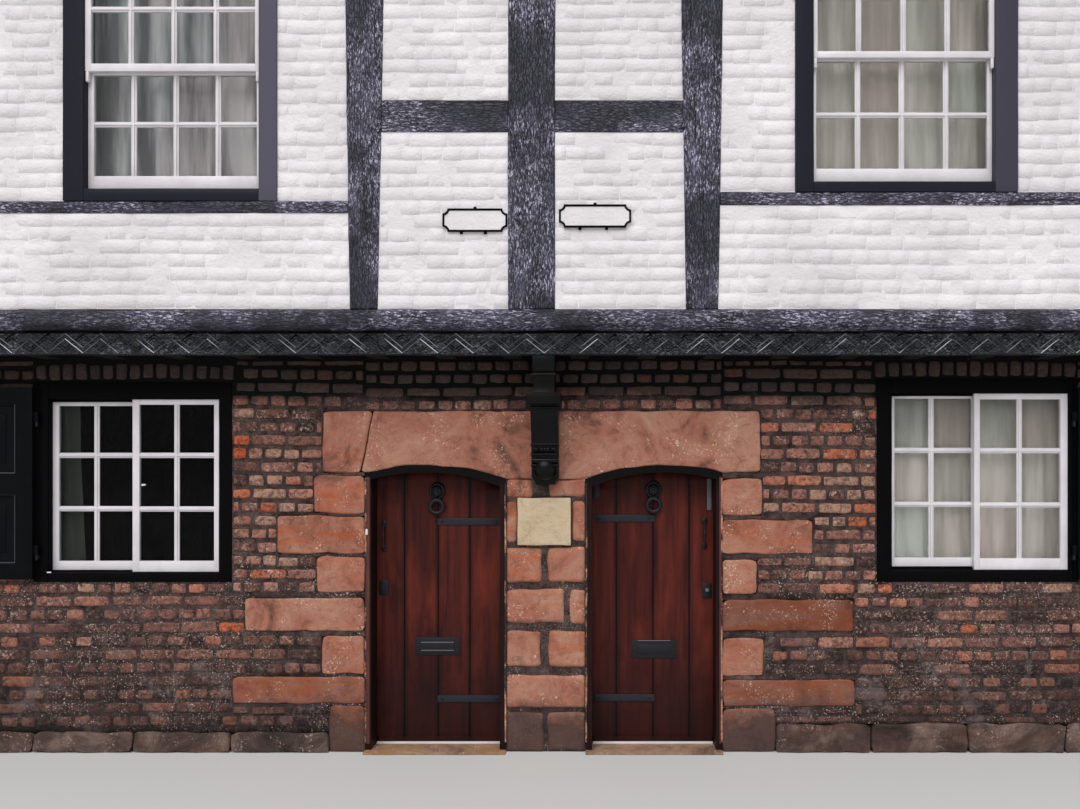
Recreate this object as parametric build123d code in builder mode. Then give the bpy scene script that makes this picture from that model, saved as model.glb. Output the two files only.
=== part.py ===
import os
from math import cos, degrees, radians, sin, tan

from build123d import *

os.makedirs("parts", exist_ok=True)

# A mirrored pair of cottages. X runs along the street, Y into the houses, Z up from the ground, in mm
house_width = 4400.0
house_depth = 5600.0
jetty = 300.0
wall = 340.0
party_wall = 230.0
storey = 2436.0
upper_storey = 2199.0
board = 28.0
flags = 12.0
sides = ("left", "right")
outward = {"left": -1, "right": 1}

front = -house_depth / 2
back = house_depth / 2
room_front = front + wall
room_back = back - wall
upper_front = front - jetty

# Jetty: joists, carved fascia over their ends, and the sill beam of the upper front
joist_depth = 141.0
joist_width = 110.0
joist_count = 20
joist_end_gap = 15.0
fascia_height = 123.0
fascia_thick = 80.0
fascia_behind = 90.0
sill_depth = 124.0
sill_lip = 15.0
sill_round = 38.0
zigzag_period = 210.0
zigzag_rise = 84.0
zigzag_cut = 7.0
zigzag_line = 9.0
floor_line = storey + joist_depth
sill_top = floor_line + sill_depth

# Upper timber framing, with brick panels between the timbers
frame_depth = 200.0
panel_thick = 110.0
panel_set_back = 8.0
corner_post = 200.0
mid_rail_up = 1042.0
mid_rail_depth = 189.0
sill_rail_up = {"left": 565.0, "right": 612.0}
sill_rail_depth = {"left": 71.0, "right": 77.0}
rail_lap = 60.0
tie_depth = 200.0
frame_back = upper_front + frame_depth
back_frame_face = back - frame_depth
joist_front = frame_back - fascia_behind
tie_bottom = sill_top + upper_storey
eaves = tie_bottom + tie_depth
mid_rail = (sill_top + mid_rail_up, sill_top + mid_rail_up + mid_rail_depth)
sill_rail = {
    side: (sill_top + sill_rail_up[side], sill_top + sill_rail_up[side] + sill_rail_depth[side])
    for side in sides
}

# Posts of the jettied front between its corners: foot left, foot right, head left, head right
inner_posts = [
    (-3420, -3255, -3461, -3222),
    (-1145, -980, -1178, -939),
    (-212, 65, -212, 65),
    (836, 1027, 805, 1060),
    (3373, 3564, 3340, 3595),
]
post_corner = house_width - corner_post
front_post_lines = [
    (-house_width, -post_corner, -house_width, -post_corner),
    *inner_posts,
    (post_corner, house_width, post_corner, house_width),
]
back_post = 200.0
back_post_at = (3350.0, 1100.0)

# Steep roofs with a gable to the street over each house
pitch = radians(50)
roof_thick = 70.0
rafter_depth = 190.0
verge = 150.0
collar_up = 1150.0
collar_depth = 170.0
king_post_width = 180.0
gable_stud_width = 150.0
gable_stud_at = 850.0
half_gable = house_width / 2
apex = eaves + half_gable * tan(pitch)
roof_rise = roof_thick / cos(pitch)
roof_length = house_depth + jetty + 2 * verge
gable_centres = (-half_gable, half_gable)
collar = (eaves + collar_up, eaves + collar_up + collar_depth)

# Ridge beams, purlins, valley beam, ridge tiles, lead gutter and bargeboards
ridge_beam_width = 180.0
ridge_beam_depth = 250.0
purlin_width = 180.0
purlin_at = (0.36, 0.7)
valley_width = 250.0
valley_depth = 250.0
ridge_leg = 170.0
ridge_thick = 18.0
gutter_sole = 150.0
gutter_side = 130.0
lead_thick = 6.0
barge_depth = 220.0
barge_thick = 35.0
barge_gap = 12.0

# Chimney stacks on the party walls, with round pots
stack_width = 450.0
stack = (700.0, 1600.0)
stack_rise = 330.0
cap_reach = 40.0
cap_course = 75.0
cap_drops = (300.0, 150.0)
pot_height = 380.0
pot_radius = 92.0
pot_wall = 20.0
pot_foot = (105.0, 40.0)
pot_lip = (105.0, 45.0)
pot_spread = 440.0
stack_top = apex + stack_rise

# Doorways: outer edge and pier edge, left and right of the party line
doorway = {"left": (-1130.0, -252.0), "right": (1090.0, 240.0)}
arch_outer = 1735.0
arch_crown = 1777.0
arch_inner = 1692.0
head_top = 2114.0
head_depth = 220.0
head_joint = 12.0
head_split = -10.0
head_ends = {"left": -1170.0, "right": 1321.0}
end_block = (-1389.0, -1182.0, 1730.0)
lintel = (1800.0, 1950.0)
lintel_lap = 150.0
step_nosing = 60.0
arris = 7.0

# Dressed stones that bond into the brickwork beside the doorways: far edge, foot and top
jamb_depth = 190.0
jamb_stones = {
    "left": [
        (-1441, 1482, 1711),
        (-1670, 1230, 1463),
        (-1426, 992, 1209),
        (-1869, 750, 955),
        (-1398, 484, 719),
        (-1953, 301, 465),
        (-1348, 0, 286),
    ],
    "right": [
        (1333, 1466, 1693),
        (1649, 1228, 1438),
        (1302, 980, 1190),
        (1903, 750, 942),
        (1342, 471, 701),
        (1910, 285, 446),
        (1414, 0, 270),
    ],
}

# Stones of the middle pier: left edge, right edge, foot and top
pier_joint = 10.0
pier_stones = [
    (-252, -81, 1575, 1692),
    (12, 240, 1575, 1692),
    (-252, -182, 1300, 1560),
    (156, 240, 1300, 1560),
    (-252, -28, 1048, 1272),
    (5, 240, 1048, 1272),
    (-236, 112, 794, 1011),
    (142, 240, 794, 1011),
    (-230, -37, 522, 751),
    (6, 240, 522, 751),
    (-224, 224, 267, 478),
    (-236, -13, 0, 248),
    (5, 240, 0, 248),
]
date_stone = (-180.0, 149.0, 1283.0, 1575.0)
date_proud = 12.0

# Base course
plinth_height = {"left": 120.0, "right": 174.0}
plinth_depth = 120.0
plinth_proud = 20.0
plinth_joint = 8.0
plinth_blocks = 5

# Bracket under the jetty: width, reach from the wall, and drop of head and foot below the storey
bracket_at = -5.0
bracket_bearer = (130.0, 262.0, 0.0, 96.0)
bracket_neck = (125.0, 215.0, 96.0, 229.0)
bracket_cap = (200.0, 250.0, 229.0, 297.0)
bracket_foot = (120.0, 55.0, 738.0, 777.0)
bracket_width = 165.0
bracket_body = (205.0, 128.0, 297.0, 545.0)
bracket_tail = (112.0, 92.0, 738.0)
bracket_boss = (15.0, 48.0, 562.0)
bracket_roll = (17.0, 629.0)
bracket_round = 24.0

# Front windows: left and right of each outer frame, its foot, and the wall left over its head
ground_window_at = {"left": (-3156.0, -1953.0), "right": (2046.0, 3267.0)}
ground_window_foot = 1054.0
ground_window_cover = {"left": 142.0, "right": 123.0}
upper_window_at = {"left": (-2833.0, -1572.0), "right": (1479.0, 2792.0)}
ground_window = {
    side: (*ground_window_at[side], ground_window_foot, storey - ground_window_cover[side]) for side in sides
}
upper_window = {side: (*upper_window_at[side], sill_rail[side][1], tie_bottom) for side in sides}
casing = 80.0
upper_casing = 125.0
ground_frame_depth = 100.0
upper_frame_depth = 140.0
upper_frame_proud = 5.0

# Sashes, glass and curtains
sash_thick = 33.0
sash_gap = 2.0
stile = 45.0
meeting = 34.0
upper_meeting_up = {"left": 787.0, "right": 810.0}
track = 15.0
glass = 4.0
curtain_thick = 25.0
curtain_gap = 0.3
curtain_margin = 35.0
drape_width = 170.0

# Back windows: width, and how far their outer face stands in from the back wall
back_ground_width = 1200.0
back_upper_width = 1260.0
back_window_in = {"ground": 20.0, "upper": 10.0}
back_frame_thick = 90.0
back_border = 110.0

# Doors: opening inwards, hung on the pier side
stop_width = 40.0
lining = 22.0
head_stop = 45.0
head_lap = 10.0
lining_set_back = 5.0
leaf_set_back = 175.0
leaf_thick = 45.0
leaf_foot = 18.0
hinge_gap = 5.0
swing_gap = 8.0
groove = 8.0
plank_joints = {"left": (-917.0, -702.0, -500.0), "right": (433.0, 668.0, 898.0)}
weather_bar = (30.0, 14.0)
leaf_face = front + leaf_set_back
leaf_back = leaf_face + leaf_thick

# Pins and knuckles of doors and shutters
knuckle_heights = (330.0, 1380.0)
knuckle_length = 60.0
pin_radius = 6.0
pin_play = 0.3
pin_bracket = 30.0
bracket_radius = 8.0
barrel_radius = 9.0
barrel_gap = 1.0
hinge_flap = (14.0, 5.0)
hinge_plate = (24.0, 16.0)

# Door ironwork: ends and middle heights of the straps, and the middles of the other pieces
strap = {"left": (-705.0, -300.0), "right": (298.0, 676.0)}
strap_height = 45.0
strap_thick = 6.0
strap_at = {"left": (1418.0, 288.0), "right": (1438.0, 295.0)}
knocker_at = {"left": (-708.0, 1610.0), "right": (670.0, 1620.0)}
letter_plate_at = {"left": (-705.0, 624.0), "right": (673.0, 604.0)}
letter_plate = (285.0, 114.0)
letter_flap = (205.0, 46.0, 5.0)
plate_thick = 6.0
lock_at = {"left": (-1049.0, 997.0), "right": (1011.0, 977.0)}
lock_size = (62.0, 95.0)
pull_at = {"left": (-1046.0, 1326.0), "right": (995.0, 1342.0)}
pull_length = 190.0
pull_stand = 38.0
pull_wire = 7.0
rose_radius = 17.0

# Knocker: a domed head with a lug under it that carries the ring
head_radius = 52.0
head_relief = 34.0
ring_radius = 38.0
ring_wire = 7.0
ring_stand = 28.0
ring_sides = 8
ring_pivot_drop = 55.0
lug = (10.0, 26.0, 12.0)
lug_hole = 7.8

# Shutters folded back on the wall beside the ground windows, on pins at the window side
shutter_width = 1105.0
shutter_thick = 35.0
shutter_gap = 6.0
shutter_edge = 18.0
shutter_foot_up = 19.0
shutter_head_drop = {"left": 37.0, "right": 56.0}
shutter_stile = 105.0
shutter_rail_up = 520.0
shutter_rail = 137.0
shutter_panel_set_back = 10.0
shutter_pin_in = 8.0
shutter_barrel = 11.0
shutter_flap = 10.0
shutter_arm = 14.0
shutter_knuckle_in = 150.0
shutter_y = front - shutter_gap - shutter_thick / 2


def elevation(y):
    """Plane facing the street at the given Y, with X to the right and Z up."""
    return Plane.XZ.offset(-y)


def oblong(x0, x1, z0, z1, mode=Mode.ADD):
    """Rectangle between two corners of the current sketch."""
    with Locations(((x0 + x1) / 2, (z0 + z1) / 2)):
        Rectangle(abs(x1 - x0), abs(z1 - z0), mode=mode)


def outline(points, mode=Mode.ADD):
    """Straight-sided face through the given points."""
    Polygon(*points, align=None, mode=mode)


def roof_line(x):
    """Height of the underside of the roof above a point of the plan."""
    return eaves + (half_gable - abs(abs(x) - half_gable)) * tan(pitch)


def ease_front(piece, size=arris):
    """Takes the sharp edges off the street face of a piece."""
    chamfer(piece.faces().group_by(Axis.Y)[0].edges(), length=size)


def save(piece, name):
    piece.part.label = name
    export_step(piece.part, f"parts/{name}.step")


# Ground floor of thin flags, level with the doorsteps
with BuildPart() as ground_floor:
    with BuildSketch(Plane.XY):
        Rectangle(2 * (house_width - party_wall), 2 * room_back)
    extrude(amount=flags)
save(ground_floor, "ground_floor")


def plinth_ends(side):
    """Where the base course starts and stops, from left to right."""
    return sorted((outward[side] * house_width, jamb_stones[side][-1][0]))


def front_wall(side):
    """Brick wall beside a doorway, with pockets for the dressed stones."""
    outer, inner = doorway[side]
    with BuildPart() as piece:
        with BuildSketch(elevation(front)):
            oblong(outward[side] * house_width, outer, 0, storey)
            oblong(*ground_window[side], mode=Mode.SUBTRACT)
        extrude(amount=-wall)
        with BuildSketch(elevation(front)):
            for far, foot, top in jamb_stones[side]:
                oblong(far, outer, foot, top)
        extrude(amount=-jamb_depth, mode=Mode.SUBTRACT)
        with BuildSketch(elevation(front)):
            oblong(outer, head_ends[side], arch_outer, head_top)
            if side == "left":
                oblong(*end_block, head_top)
        extrude(amount=-head_depth, mode=Mode.SUBTRACT)
        with BuildSketch(elevation(room_front)):
            oblong(outer, outer + outward[side] * lintel_lap, *lintel)
        extrude(amount=wall - head_depth, mode=Mode.SUBTRACT)
        with BuildSketch(elevation(front)):
            oblong(*plinth_ends(side), 0, plinth_height[side])
        extrude(amount=-(plinth_depth - plinth_proud), mode=Mode.SUBTRACT)
    return piece


save(front_wall("left"), "front_wall_left")
save(front_wall("right"), "front_wall_right")

# Brickwork over the two doorways
with BuildPart() as front_wall_over_doors:
    with BuildSketch(Plane.YZ.offset(doorway["left"][0])):
        head_back = front + head_depth
        outline(
            [
                (front, head_top),
                (head_back, head_top),
                (head_back, lintel[1]),
                (room_front, lintel[1]),
                (room_front, storey),
                (front, storey),
            ]
        )
    extrude(amount=doorway["right"][0] - doorway["left"][0])
save(front_wall_over_doors, "front_wall_over_doors")


def jambs(side):
    """Long and short stones at the side of a doorway, with worn edges."""
    with BuildPart() as piece:
        with BuildSketch(elevation(front)):
            for far, foot, top in jamb_stones[side]:
                oblong(far, doorway[side][0], foot, top)
        extrude(amount=-jamb_depth)
        ease_front(piece)
    return piece


save(jambs("left"), "left_jamb_stones")
save(jambs("right"), "right_jamb_stones")

# Middle pier: stones divided by raked joints, with a pale date stone near the top
with BuildPart() as centre_pier:
    pier_left, pier_right = doorway["left"][1], doorway["right"][1]
    with BuildSketch(Plane.YZ.offset(pier_left)):
        outline(
            [
                (front + pier_joint, 0),
                (room_front, 0),
                (room_front, lintel[0]),
                (front + head_depth, lintel[0]),
                (front + head_depth, arch_inner),
                (front + pier_joint, arch_inner),
            ]
        )
    extrude(amount=pier_right - pier_left)
    with BuildSketch(elevation(front + pier_joint)):
        for left, right, foot, top in pier_stones:
            oblong(left, right, foot, top)
    extrude(amount=pier_joint)
    ease_front(centre_pier)
    with BuildSketch(elevation(front + pier_joint)):
        oblong(*date_stone)
    extrude(amount=pier_joint + date_proud)
save(centre_pier, "centre_pier")

# Stone heads, each with a shallow arch cut in its foot
with BuildPart() as door_heads:
    with BuildSketch(elevation(front)):
        oblong(*end_block, head_top)
        for side in sides:
            outer, inner = doorway[side]
            end = head_ends[side]
            joint = head_split + outward[side] * head_joint / 2
            with BuildLine():
                Polyline((outer, arch_outer), (end, arch_outer), (end, head_top), (joint, head_top))
                Polyline((joint, head_top), (joint, arch_inner), (inner, arch_inner))
                ThreePointArc((inner, arch_inner), ((outer + inner) / 2, arch_crown), (outer, arch_outer))
            make_face()
    extrude(amount=-head_depth)
    ease_front(door_heads)
save(door_heads, "door_heads")

# Oak lintel behind the stone heads
with BuildPart() as rear_lintel:
    with BuildSketch(elevation(room_front)):
        oblong(doorway["left"][0] - lintel_lap, doorway["right"][0] + lintel_lap, *lintel)
    extrude(amount=wall - head_depth)
save(rear_lintel, "rear_lintel")

# Base course of rough blocks, a little proud of the brickwork
with BuildPart() as front_plinth:
    for side in sides:
        left, right = plinth_ends(side)
        length = (right - left + plinth_joint) / plinth_blocks
        with BuildSketch(elevation(front - plinth_proud)):
            for i in range(plinth_blocks):
                start = left + i * length
                oblong(start, start + length - plinth_joint, 0, plinth_height[side])
        extrude(amount=-plinth_depth)
    ease_front(front_plinth)
save(front_plinth, "front_plinth")

# Worn steps in the doorways
with BuildPart() as doorsteps:
    with BuildSketch(Plane.XY):
        for outer, inner in doorway.values():
            oblong(outer, inner, front - step_nosing, room_front)
    extrude(amount=flags)
save(doorsteps, "doorsteps")


def back_window_places():
    """Every back window: storey, left, right, foot and head."""
    for centre in gable_centres:
        half = back_ground_width / 2
        yield "ground", (centre - half, centre + half, ground_window["left"][2], ground_window["left"][3])
        half = back_upper_width / 2
        yield "upper", (centre - half, centre + half, sill_rail["left"][1], tie_bottom)


# Back wall, with a window to each house
with BuildPart() as back_wall:
    with BuildSketch(elevation(room_back)):
        oblong(-house_width, house_width, 0, storey)
        for level, corners in back_window_places():
            if level == "ground":
                oblong(*corners, mode=Mode.SUBTRACT)
    extrude(amount=-wall)
save(back_wall, "back_wall")


def end_wall(side):
    """Plain party wall up to the roof, with the chimney stack that it shares with its neighbour."""
    sign = outward[side]
    face = sign * house_width
    inner = sign * (house_width - party_wall)
    breast = sign * (house_width - stack_width)
    with BuildPart() as piece:
        with BuildSketch(Plane.YZ.offset(min(face, inner))):
            outline(
                [
                    (room_front, 0),
                    (room_back, 0),
                    (room_back, storey),
                    (back_frame_face, storey),
                    (back_frame_face, roof_line(inner)),
                    (frame_back, roof_line(inner)),
                    (frame_back, floor_line),
                    (joist_front, floor_line),
                    (joist_front, storey),
                    (room_front, storey),
                ]
            )
        extrude(amount=party_wall)
        with BuildSketch(elevation(frame_back)):
            outline([(face, eaves), (inner, roof_line(inner)), (face, roof_line(inner))])
        extrude(amount=-(back_frame_face - frame_back), mode=Mode.SUBTRACT)
        with BuildSketch(elevation(stack[0])):
            oblong(face, breast, flags, stack_top)
        extrude(amount=-(stack[1] - stack[0]))
        with BuildSketch(elevation(stack[0] - cap_reach)):
            for drop in cap_drops:
                foot = stack_top - drop
                oblong(face, breast - sign * cap_reach, foot, foot + cap_course)
        extrude(amount=-(stack[1] - stack[0] + 2 * cap_reach))
    return piece


save(end_wall("left"), "party_wall_left")
save(end_wall("right"), "party_wall_right")

# Joists over the ground walls, carrying the boards and the upper front
joist_reach = house_width - stack_width - joist_width / 2 - joist_end_gap
joist_pitch = 2 * joist_reach / (joist_count - 1)
with BuildPart() as floor_joists:
    with BuildSketch(Plane.XY.offset(storey)):
        with Locations((0, (joist_front + back_frame_face) / 2)):
            with GridLocations(joist_pitch, 1, joist_count, 1):
                Rectangle(joist_width, back_frame_face - joist_front)
    extrude(amount=joist_depth)
save(floor_joists, "floor_joists")

# Brick filling between the joists, on the head of the front wall
with BuildPart() as joist_infill:
    with BuildSketch(Plane.XY.offset(storey)):
        oblong(party_wall - house_width, house_width - party_wall, front, front + joist_width)
        with Locations((0, front)):
            with GridLocations(joist_pitch, 1, joist_count, 1):
                Rectangle(joist_width, 3 * joist_width, mode=Mode.SUBTRACT)
    extrude(amount=joist_depth)
save(joist_infill, "joist_infill")

with BuildPart() as upper_floor:
    with BuildSketch(Plane.XY.offset(floor_line)):
        inner = house_width - party_wall
        oblong(-inner, inner, frame_back, back_frame_face)
        for side in sides:
            sign = outward[side]
            oblong(sign * house_width, sign * (house_width - stack_width), *stack, mode=Mode.SUBTRACT)
    extrude(amount=board)
save(upper_floor, "upper_floor")


def zigzag(shift):
    """Thin band that climbs and falls along the fascia."""
    count = int(2 * house_width / zigzag_period)
    start = -count * zigzag_period / 2
    middle = storey + fascia_height / 2 + shift
    lower = []
    for i in range(2 * count + 1):
        rise = zigzag_rise / 2 if i % 2 else -zigzag_rise / 2
        lower.append((start + i * zigzag_period / 2, middle + rise))
    upper = [(x, z + zigzag_line) for x, z in reversed(lower)]
    outline(lower + upper)


# Carved fascia over the joist ends: two parallel zigzag lines cut in its face
with BuildPart() as carved_bressumer:
    fascia_face = joist_front - fascia_thick
    with BuildSketch(elevation(fascia_face)):
        oblong(-house_width, house_width, storey, storey + fascia_height)
    extrude(amount=-fascia_thick)
    with BuildSketch(elevation(fascia_face)):
        zigzag(-zigzag_line)
        zigzag(zigzag_line)
    extrude(amount=-zigzag_cut, mode=Mode.SUBTRACT)
save(carved_bressumer, "carved_bressumer")

# Sill beam of the upper front, with a rounded nose
with BuildPart() as sill_beam:
    with BuildSketch(Plane.YZ.offset(-house_width)):
        oblong(upper_front - sill_lip, frame_back, floor_line, sill_top)
    extrude(amount=2 * house_width)
    nose = sill_beam.edges().filter_by(Axis.X).group_by(Axis.Y)[0]
    fillet(nose, radius=sill_round)
save(sill_beam, "sill_beam")


def bracket_block(width, reach, head, foot):
    """Block of the bracket that stands on the wall between two drops below the storey."""
    with BuildSketch(elevation(front)) as face:
        oblong(bracket_at - width / 2, bracket_at + width / 2, storey - foot, storey - head)
    extrude(face.sketch, amount=reach)


# Carved bracket under the jetty: bearer, cap, curved body, a row of bosses, a roll and a foot
with BuildPart() as console_bracket:
    bracket_block(*bracket_cap)
    under_cap = console_bracket.edges().filter_by(Axis.X).group_by(Axis.Y)[0].sort_by(Axis.Z)[0]
    fillet(under_cap, radius=bracket_round)
    bracket_block(*bracket_bearer)
    bracket_block(*bracket_neck)
    bracket_block(*bracket_foot)
    with BuildSketch(Plane.YZ.offset(bracket_at - bracket_width / 2)):
        body_reach, waist_reach, body_head, body_foot = bracket_body
        step_reach, tail_reach, tail_foot = bracket_tail
        roll, roll_drop = bracket_roll
        with BuildLine():
            top = (front - body_reach, storey - body_head)
            waist = (front - waist_reach, storey - body_foot)
            shoulder = (front - step_reach, storey - roll_drop)
            tail = (front - tail_reach, storey - tail_foot)
            Line((front, storey - body_head), top)
            Spline(top, waist, tangents=((0.05, -1), (0, -1)))
            Polyline(waist, shoulder, tail, (front, storey - tail_foot), (front, storey - body_head))
        make_face()
        with Locations((front - step_reach, storey - roll_drop)):
            Circle(roll)
    extrude(amount=bracket_width)
    boss, boss_pitch, boss_drop = bracket_boss
    with Locations((bracket_at, front - waist_reach, storey - boss_drop)):
        with GridLocations(boss_pitch, 1, 3, 1):
            Sphere(boss)
save(console_bracket, "console_bracket")


# Upper front: posts and rails
def post_outline(line, mode=Mode.ADD):
    foot_left, foot_right, head_left, head_right = line
    feet = [(foot_left, sill_top), (foot_right, sill_top)]
    outline(feet + [(head_right, tie_bottom), (head_left, tie_bottom)], mode=mode)


def post_side(line, z, right):
    """Where the left or right side of a post stands at height z."""
    share = (z - sill_top) / (tie_bottom - sill_top)
    foot, head = (line[1], line[3]) if right else (line[0], line[2])
    return foot + share * (head - foot)


with BuildPart() as front_posts:
    with BuildSketch(elevation(upper_front)):
        for line in front_post_lines:
            post_outline(line)
    extrude(amount=-frame_depth)
save(front_posts, "front_posts")

# Foot and head of the rail in each bay, from the left
bay_rails = [mid_rail, sill_rail["left"], mid_rail, mid_rail, sill_rail["right"], mid_rail]


def rail_outline(bay, heights, lap=0.0, mode=Mode.ADD):
    """Rail between two posts, which can run on into them by a lap."""
    left, right = front_post_lines[bay], front_post_lines[bay + 1]
    foot, head = heights
    outline(
        [
            (post_side(left, foot, True) - lap, foot),
            (post_side(right, foot, False) + lap, foot),
            (post_side(right, head, False) + lap, head),
            (post_side(left, head, True) - lap, head),
        ],
        mode=mode,
    )


with BuildPart() as front_rails:
    with BuildSketch(elevation(upper_front)):
        for bay, heights in enumerate(bay_rails):
            rail_outline(bay, heights)
    extrude(amount=-frame_depth)
save(front_rails, "front_rails")


# Gable frames: tie beam, rafters, collar, king post and studs
def gable_triangle(centre, inset, mode=Mode.ADD):
    half = half_gable - inset / sin(pitch)
    outline([(centre - half, eaves), (centre + half, eaves), (centre, eaves + half * tan(pitch))], mode=mode)


def gable_bars(reach, mode=Mode.ADD):
    """Collar, king post and studs of both gables. The collar reaches this far to each side."""
    for centre in gable_centres:
        oblong(centre - reach, centre + reach, *collar, mode=mode)
        half = king_post_width / 2
        oblong(centre - half, centre + half, eaves, apex - rafter_depth, mode=mode)
        half = gable_stud_width / 2
        for stud in (centre - gable_stud_at, centre + gable_stud_at):
            oblong(stud - half, stud + half, eaves, collar[0], mode=mode)


def gable_timbers():
    """Timbers of both gables, from the foot of the tie beams up."""
    oblong(-house_width, house_width, tie_bottom, eaves)
    for centre in gable_centres:
        gable_triangle(centre, 0)
    for centre in gable_centres:
        gable_triangle(centre, rafter_depth, mode=Mode.SUBTRACT)
    gable_bars((apex - collar[1]) / tan(pitch) - rafter_depth / 2)


def gable_panels():
    """Panels that fill both gables between their timbers."""
    for centre in gable_centres:
        gable_triangle(centre, rafter_depth)
    gable_bars(half_gable, mode=Mode.SUBTRACT)


with BuildPart() as front_gables:
    with BuildSketch(elevation(upper_front)):
        gable_timbers()
    extrude(amount=-frame_depth)
save(front_gables, "front_gables")

# White painted brick between the timbers
with BuildPart() as front_infill:
    with BuildSketch(elevation(upper_front + panel_set_back)):
        oblong(-house_width, house_width, sill_top, tie_bottom)
        for line in front_post_lines:
            post_outline(line, mode=Mode.SUBTRACT)
        for window in upper_window.values():
            oblong(*window, mode=Mode.SUBTRACT)
        for bay, heights in enumerate(bay_rails):
            rail_outline(bay, heights, lap=rail_lap, mode=Mode.SUBTRACT)
    extrude(amount=-panel_thick)
    with BuildSketch(elevation(upper_front + panel_set_back)):
        gable_panels()
    extrude(amount=-panel_thick)
save(front_infill, "front_infill")


# Back of the house: the same timbering without a jetty
def back_posts(mode=Mode.ADD):
    edge = house_width - corner_post / 2
    for x in (-edge, -back_post_at[0], -back_post_at[1], 0, back_post_at[1], back_post_at[0], edge):
        oblong(x - back_post / 2, x + back_post / 2, sill_top, tie_bottom, mode=mode)


def back_rails(mode=Mode.ADD):
    outer, inner = back_post_at
    for sign in (-1, 1):
        oblong(0, sign * inner, *mid_rail, mode=mode)
        oblong(sign * outer, sign * (house_width - corner_post), *mid_rail, mode=mode)
        oblong(sign * inner, sign * outer, *sill_rail["left"], mode=mode)


with BuildPart() as back_frame:
    with BuildSketch(elevation(back_frame_face)):
        oblong(-house_width, house_width, storey, sill_top)
        back_posts()
        back_rails()
        gable_timbers()
    extrude(amount=-frame_depth)
save(back_frame, "back_frame")

with BuildPart() as back_infill:
    with BuildSketch(elevation(back - panel_set_back - panel_thick)):
        oblong(-house_width, house_width, sill_top, tie_bottom)
        back_posts(mode=Mode.SUBTRACT)
        back_rails(mode=Mode.SUBTRACT)
        for level, corners in back_window_places():
            if level == "upper":
                oblong(*corners, mode=Mode.SUBTRACT)
    extrude(amount=-panel_thick)
    with BuildSketch(elevation(back - panel_set_back - panel_thick)):
        gable_panels()
    extrude(amount=-panel_thick)
save(back_infill, "back_infill")


# Roof slopes of boards and slates, from each ridge down to the party wall or the middle valley
def roof_slope(x_low, x_ridge):
    with BuildPart() as piece:
        with BuildSketch(elevation(upper_front - verge)):
            ridge = [(x_ridge, apex + roof_rise), (x_ridge, apex)]
            outline([(x_low, eaves), (x_low, eaves + roof_rise)] + ridge)
        extrude(amount=-roof_length)
        if x_low:
            inner = x_low - stack_width if x_low > 0 else x_low + stack_width
            with BuildSketch(elevation(stack[0])):
                oblong(x_low, inner, tie_bottom, apex)
            extrude(amount=-(stack[1] - stack[0]), mode=Mode.SUBTRACT)
    return piece


save(roof_slope(-house_width, -half_gable), "roof_left_outer")
save(roof_slope(0, -half_gable), "roof_left_inner")
save(roof_slope(0, half_gable), "roof_right_inner")
save(roof_slope(house_width, half_gable), "roof_right_outer")


def beam_under_roof(centre, width, foot):
    """Beam with its top cut to the roof on both sides of a ridge or valley."""
    half = width / 2
    outline(
        [
            (centre - half, foot),
            (centre + half, foot),
            (centre + half, roof_line(centre + half)),
            (centre, roof_line(centre)),
            (centre - half, roof_line(centre - half)),
        ]
    )


# Ridge beams, purlins and the valley beam, from gable frame to gable frame
with BuildPart() as roof_timbers:
    with BuildSketch(elevation(frame_back)):
        beam_under_roof(0, valley_width, eaves - valley_depth)
        for centre in gable_centres:
            beam_under_roof(centre, ridge_beam_width, apex - ridge_beam_depth)
            for sign in (-1, 1):
                for share in purlin_at:
                    x = centre + sign * half_gable * (1 - share)
                    with Locations(Location((x, roof_line(x)), -sign * degrees(pitch))):
                        Rectangle(purlin_width, purlin_width, align=(Align.CENTER, Align.MAX))
    extrude(amount=-(back_frame_face - frame_back))
save(roof_timbers, "roof_timbers")

# Clay ridge tiles bedded over each ridge
with BuildPart() as ridge_tiles:
    with BuildSketch(elevation(upper_front - verge)):
        crown = apex + roof_rise
        fall = ridge_leg * sin(pitch)
        reach = ridge_leg * cos(pitch)
        lift = ridge_thick / cos(pitch)
        for centre in gable_centres:
            outline(
                [
                    (centre - reach, crown - fall),
                    (centre, crown),
                    (centre + reach, crown - fall),
                    (centre + reach, crown - fall + lift),
                    (centre, crown + lift),
                    (centre - reach, crown - fall + lift),
                ]
            )
    extrude(amount=-roof_length)
save(ridge_tiles, "ridge_tiles")

# Lead gutter along the valley between the two roofs
with BuildPart() as valley_gutter:
    with BuildSketch(elevation(upper_front - verge)):
        base = eaves + roof_rise
        slope = tan(pitch)
        lead_rise = lead_thick / cos(pitch)
        outer = gutter_sole + gutter_side
        outline(
            [
                (0, base),
                (outer, base + outer * slope),
                (outer, base + outer * slope + lead_rise),
                (gutter_sole, base + gutter_sole * slope + lead_rise),
                (-gutter_sole, base + gutter_sole * slope + lead_rise),
                (-outer, base + outer * slope + lead_rise),
                (-outer, base + outer * slope),
            ]
        )
    extrude(amount=-roof_length)
save(valley_gutter, "valley_gutter")

# Bargeboards under the verges, front and back
with BuildPart() as bargeboards:
    for face in (upper_front - verge, back + verge - barge_thick):
        with BuildSketch(elevation(face)):
            for centre in gable_centres:
                gable_triangle(centre, 0)
            for centre in gable_centres:
                gable_triangle(centre, barge_depth, mode=Mode.SUBTRACT)
            oblong(-barge_gap, barge_gap, tie_bottom, apex, mode=Mode.SUBTRACT)
        extrude(amount=-barge_thick)
save(bargeboards, "bargeboards")

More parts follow.
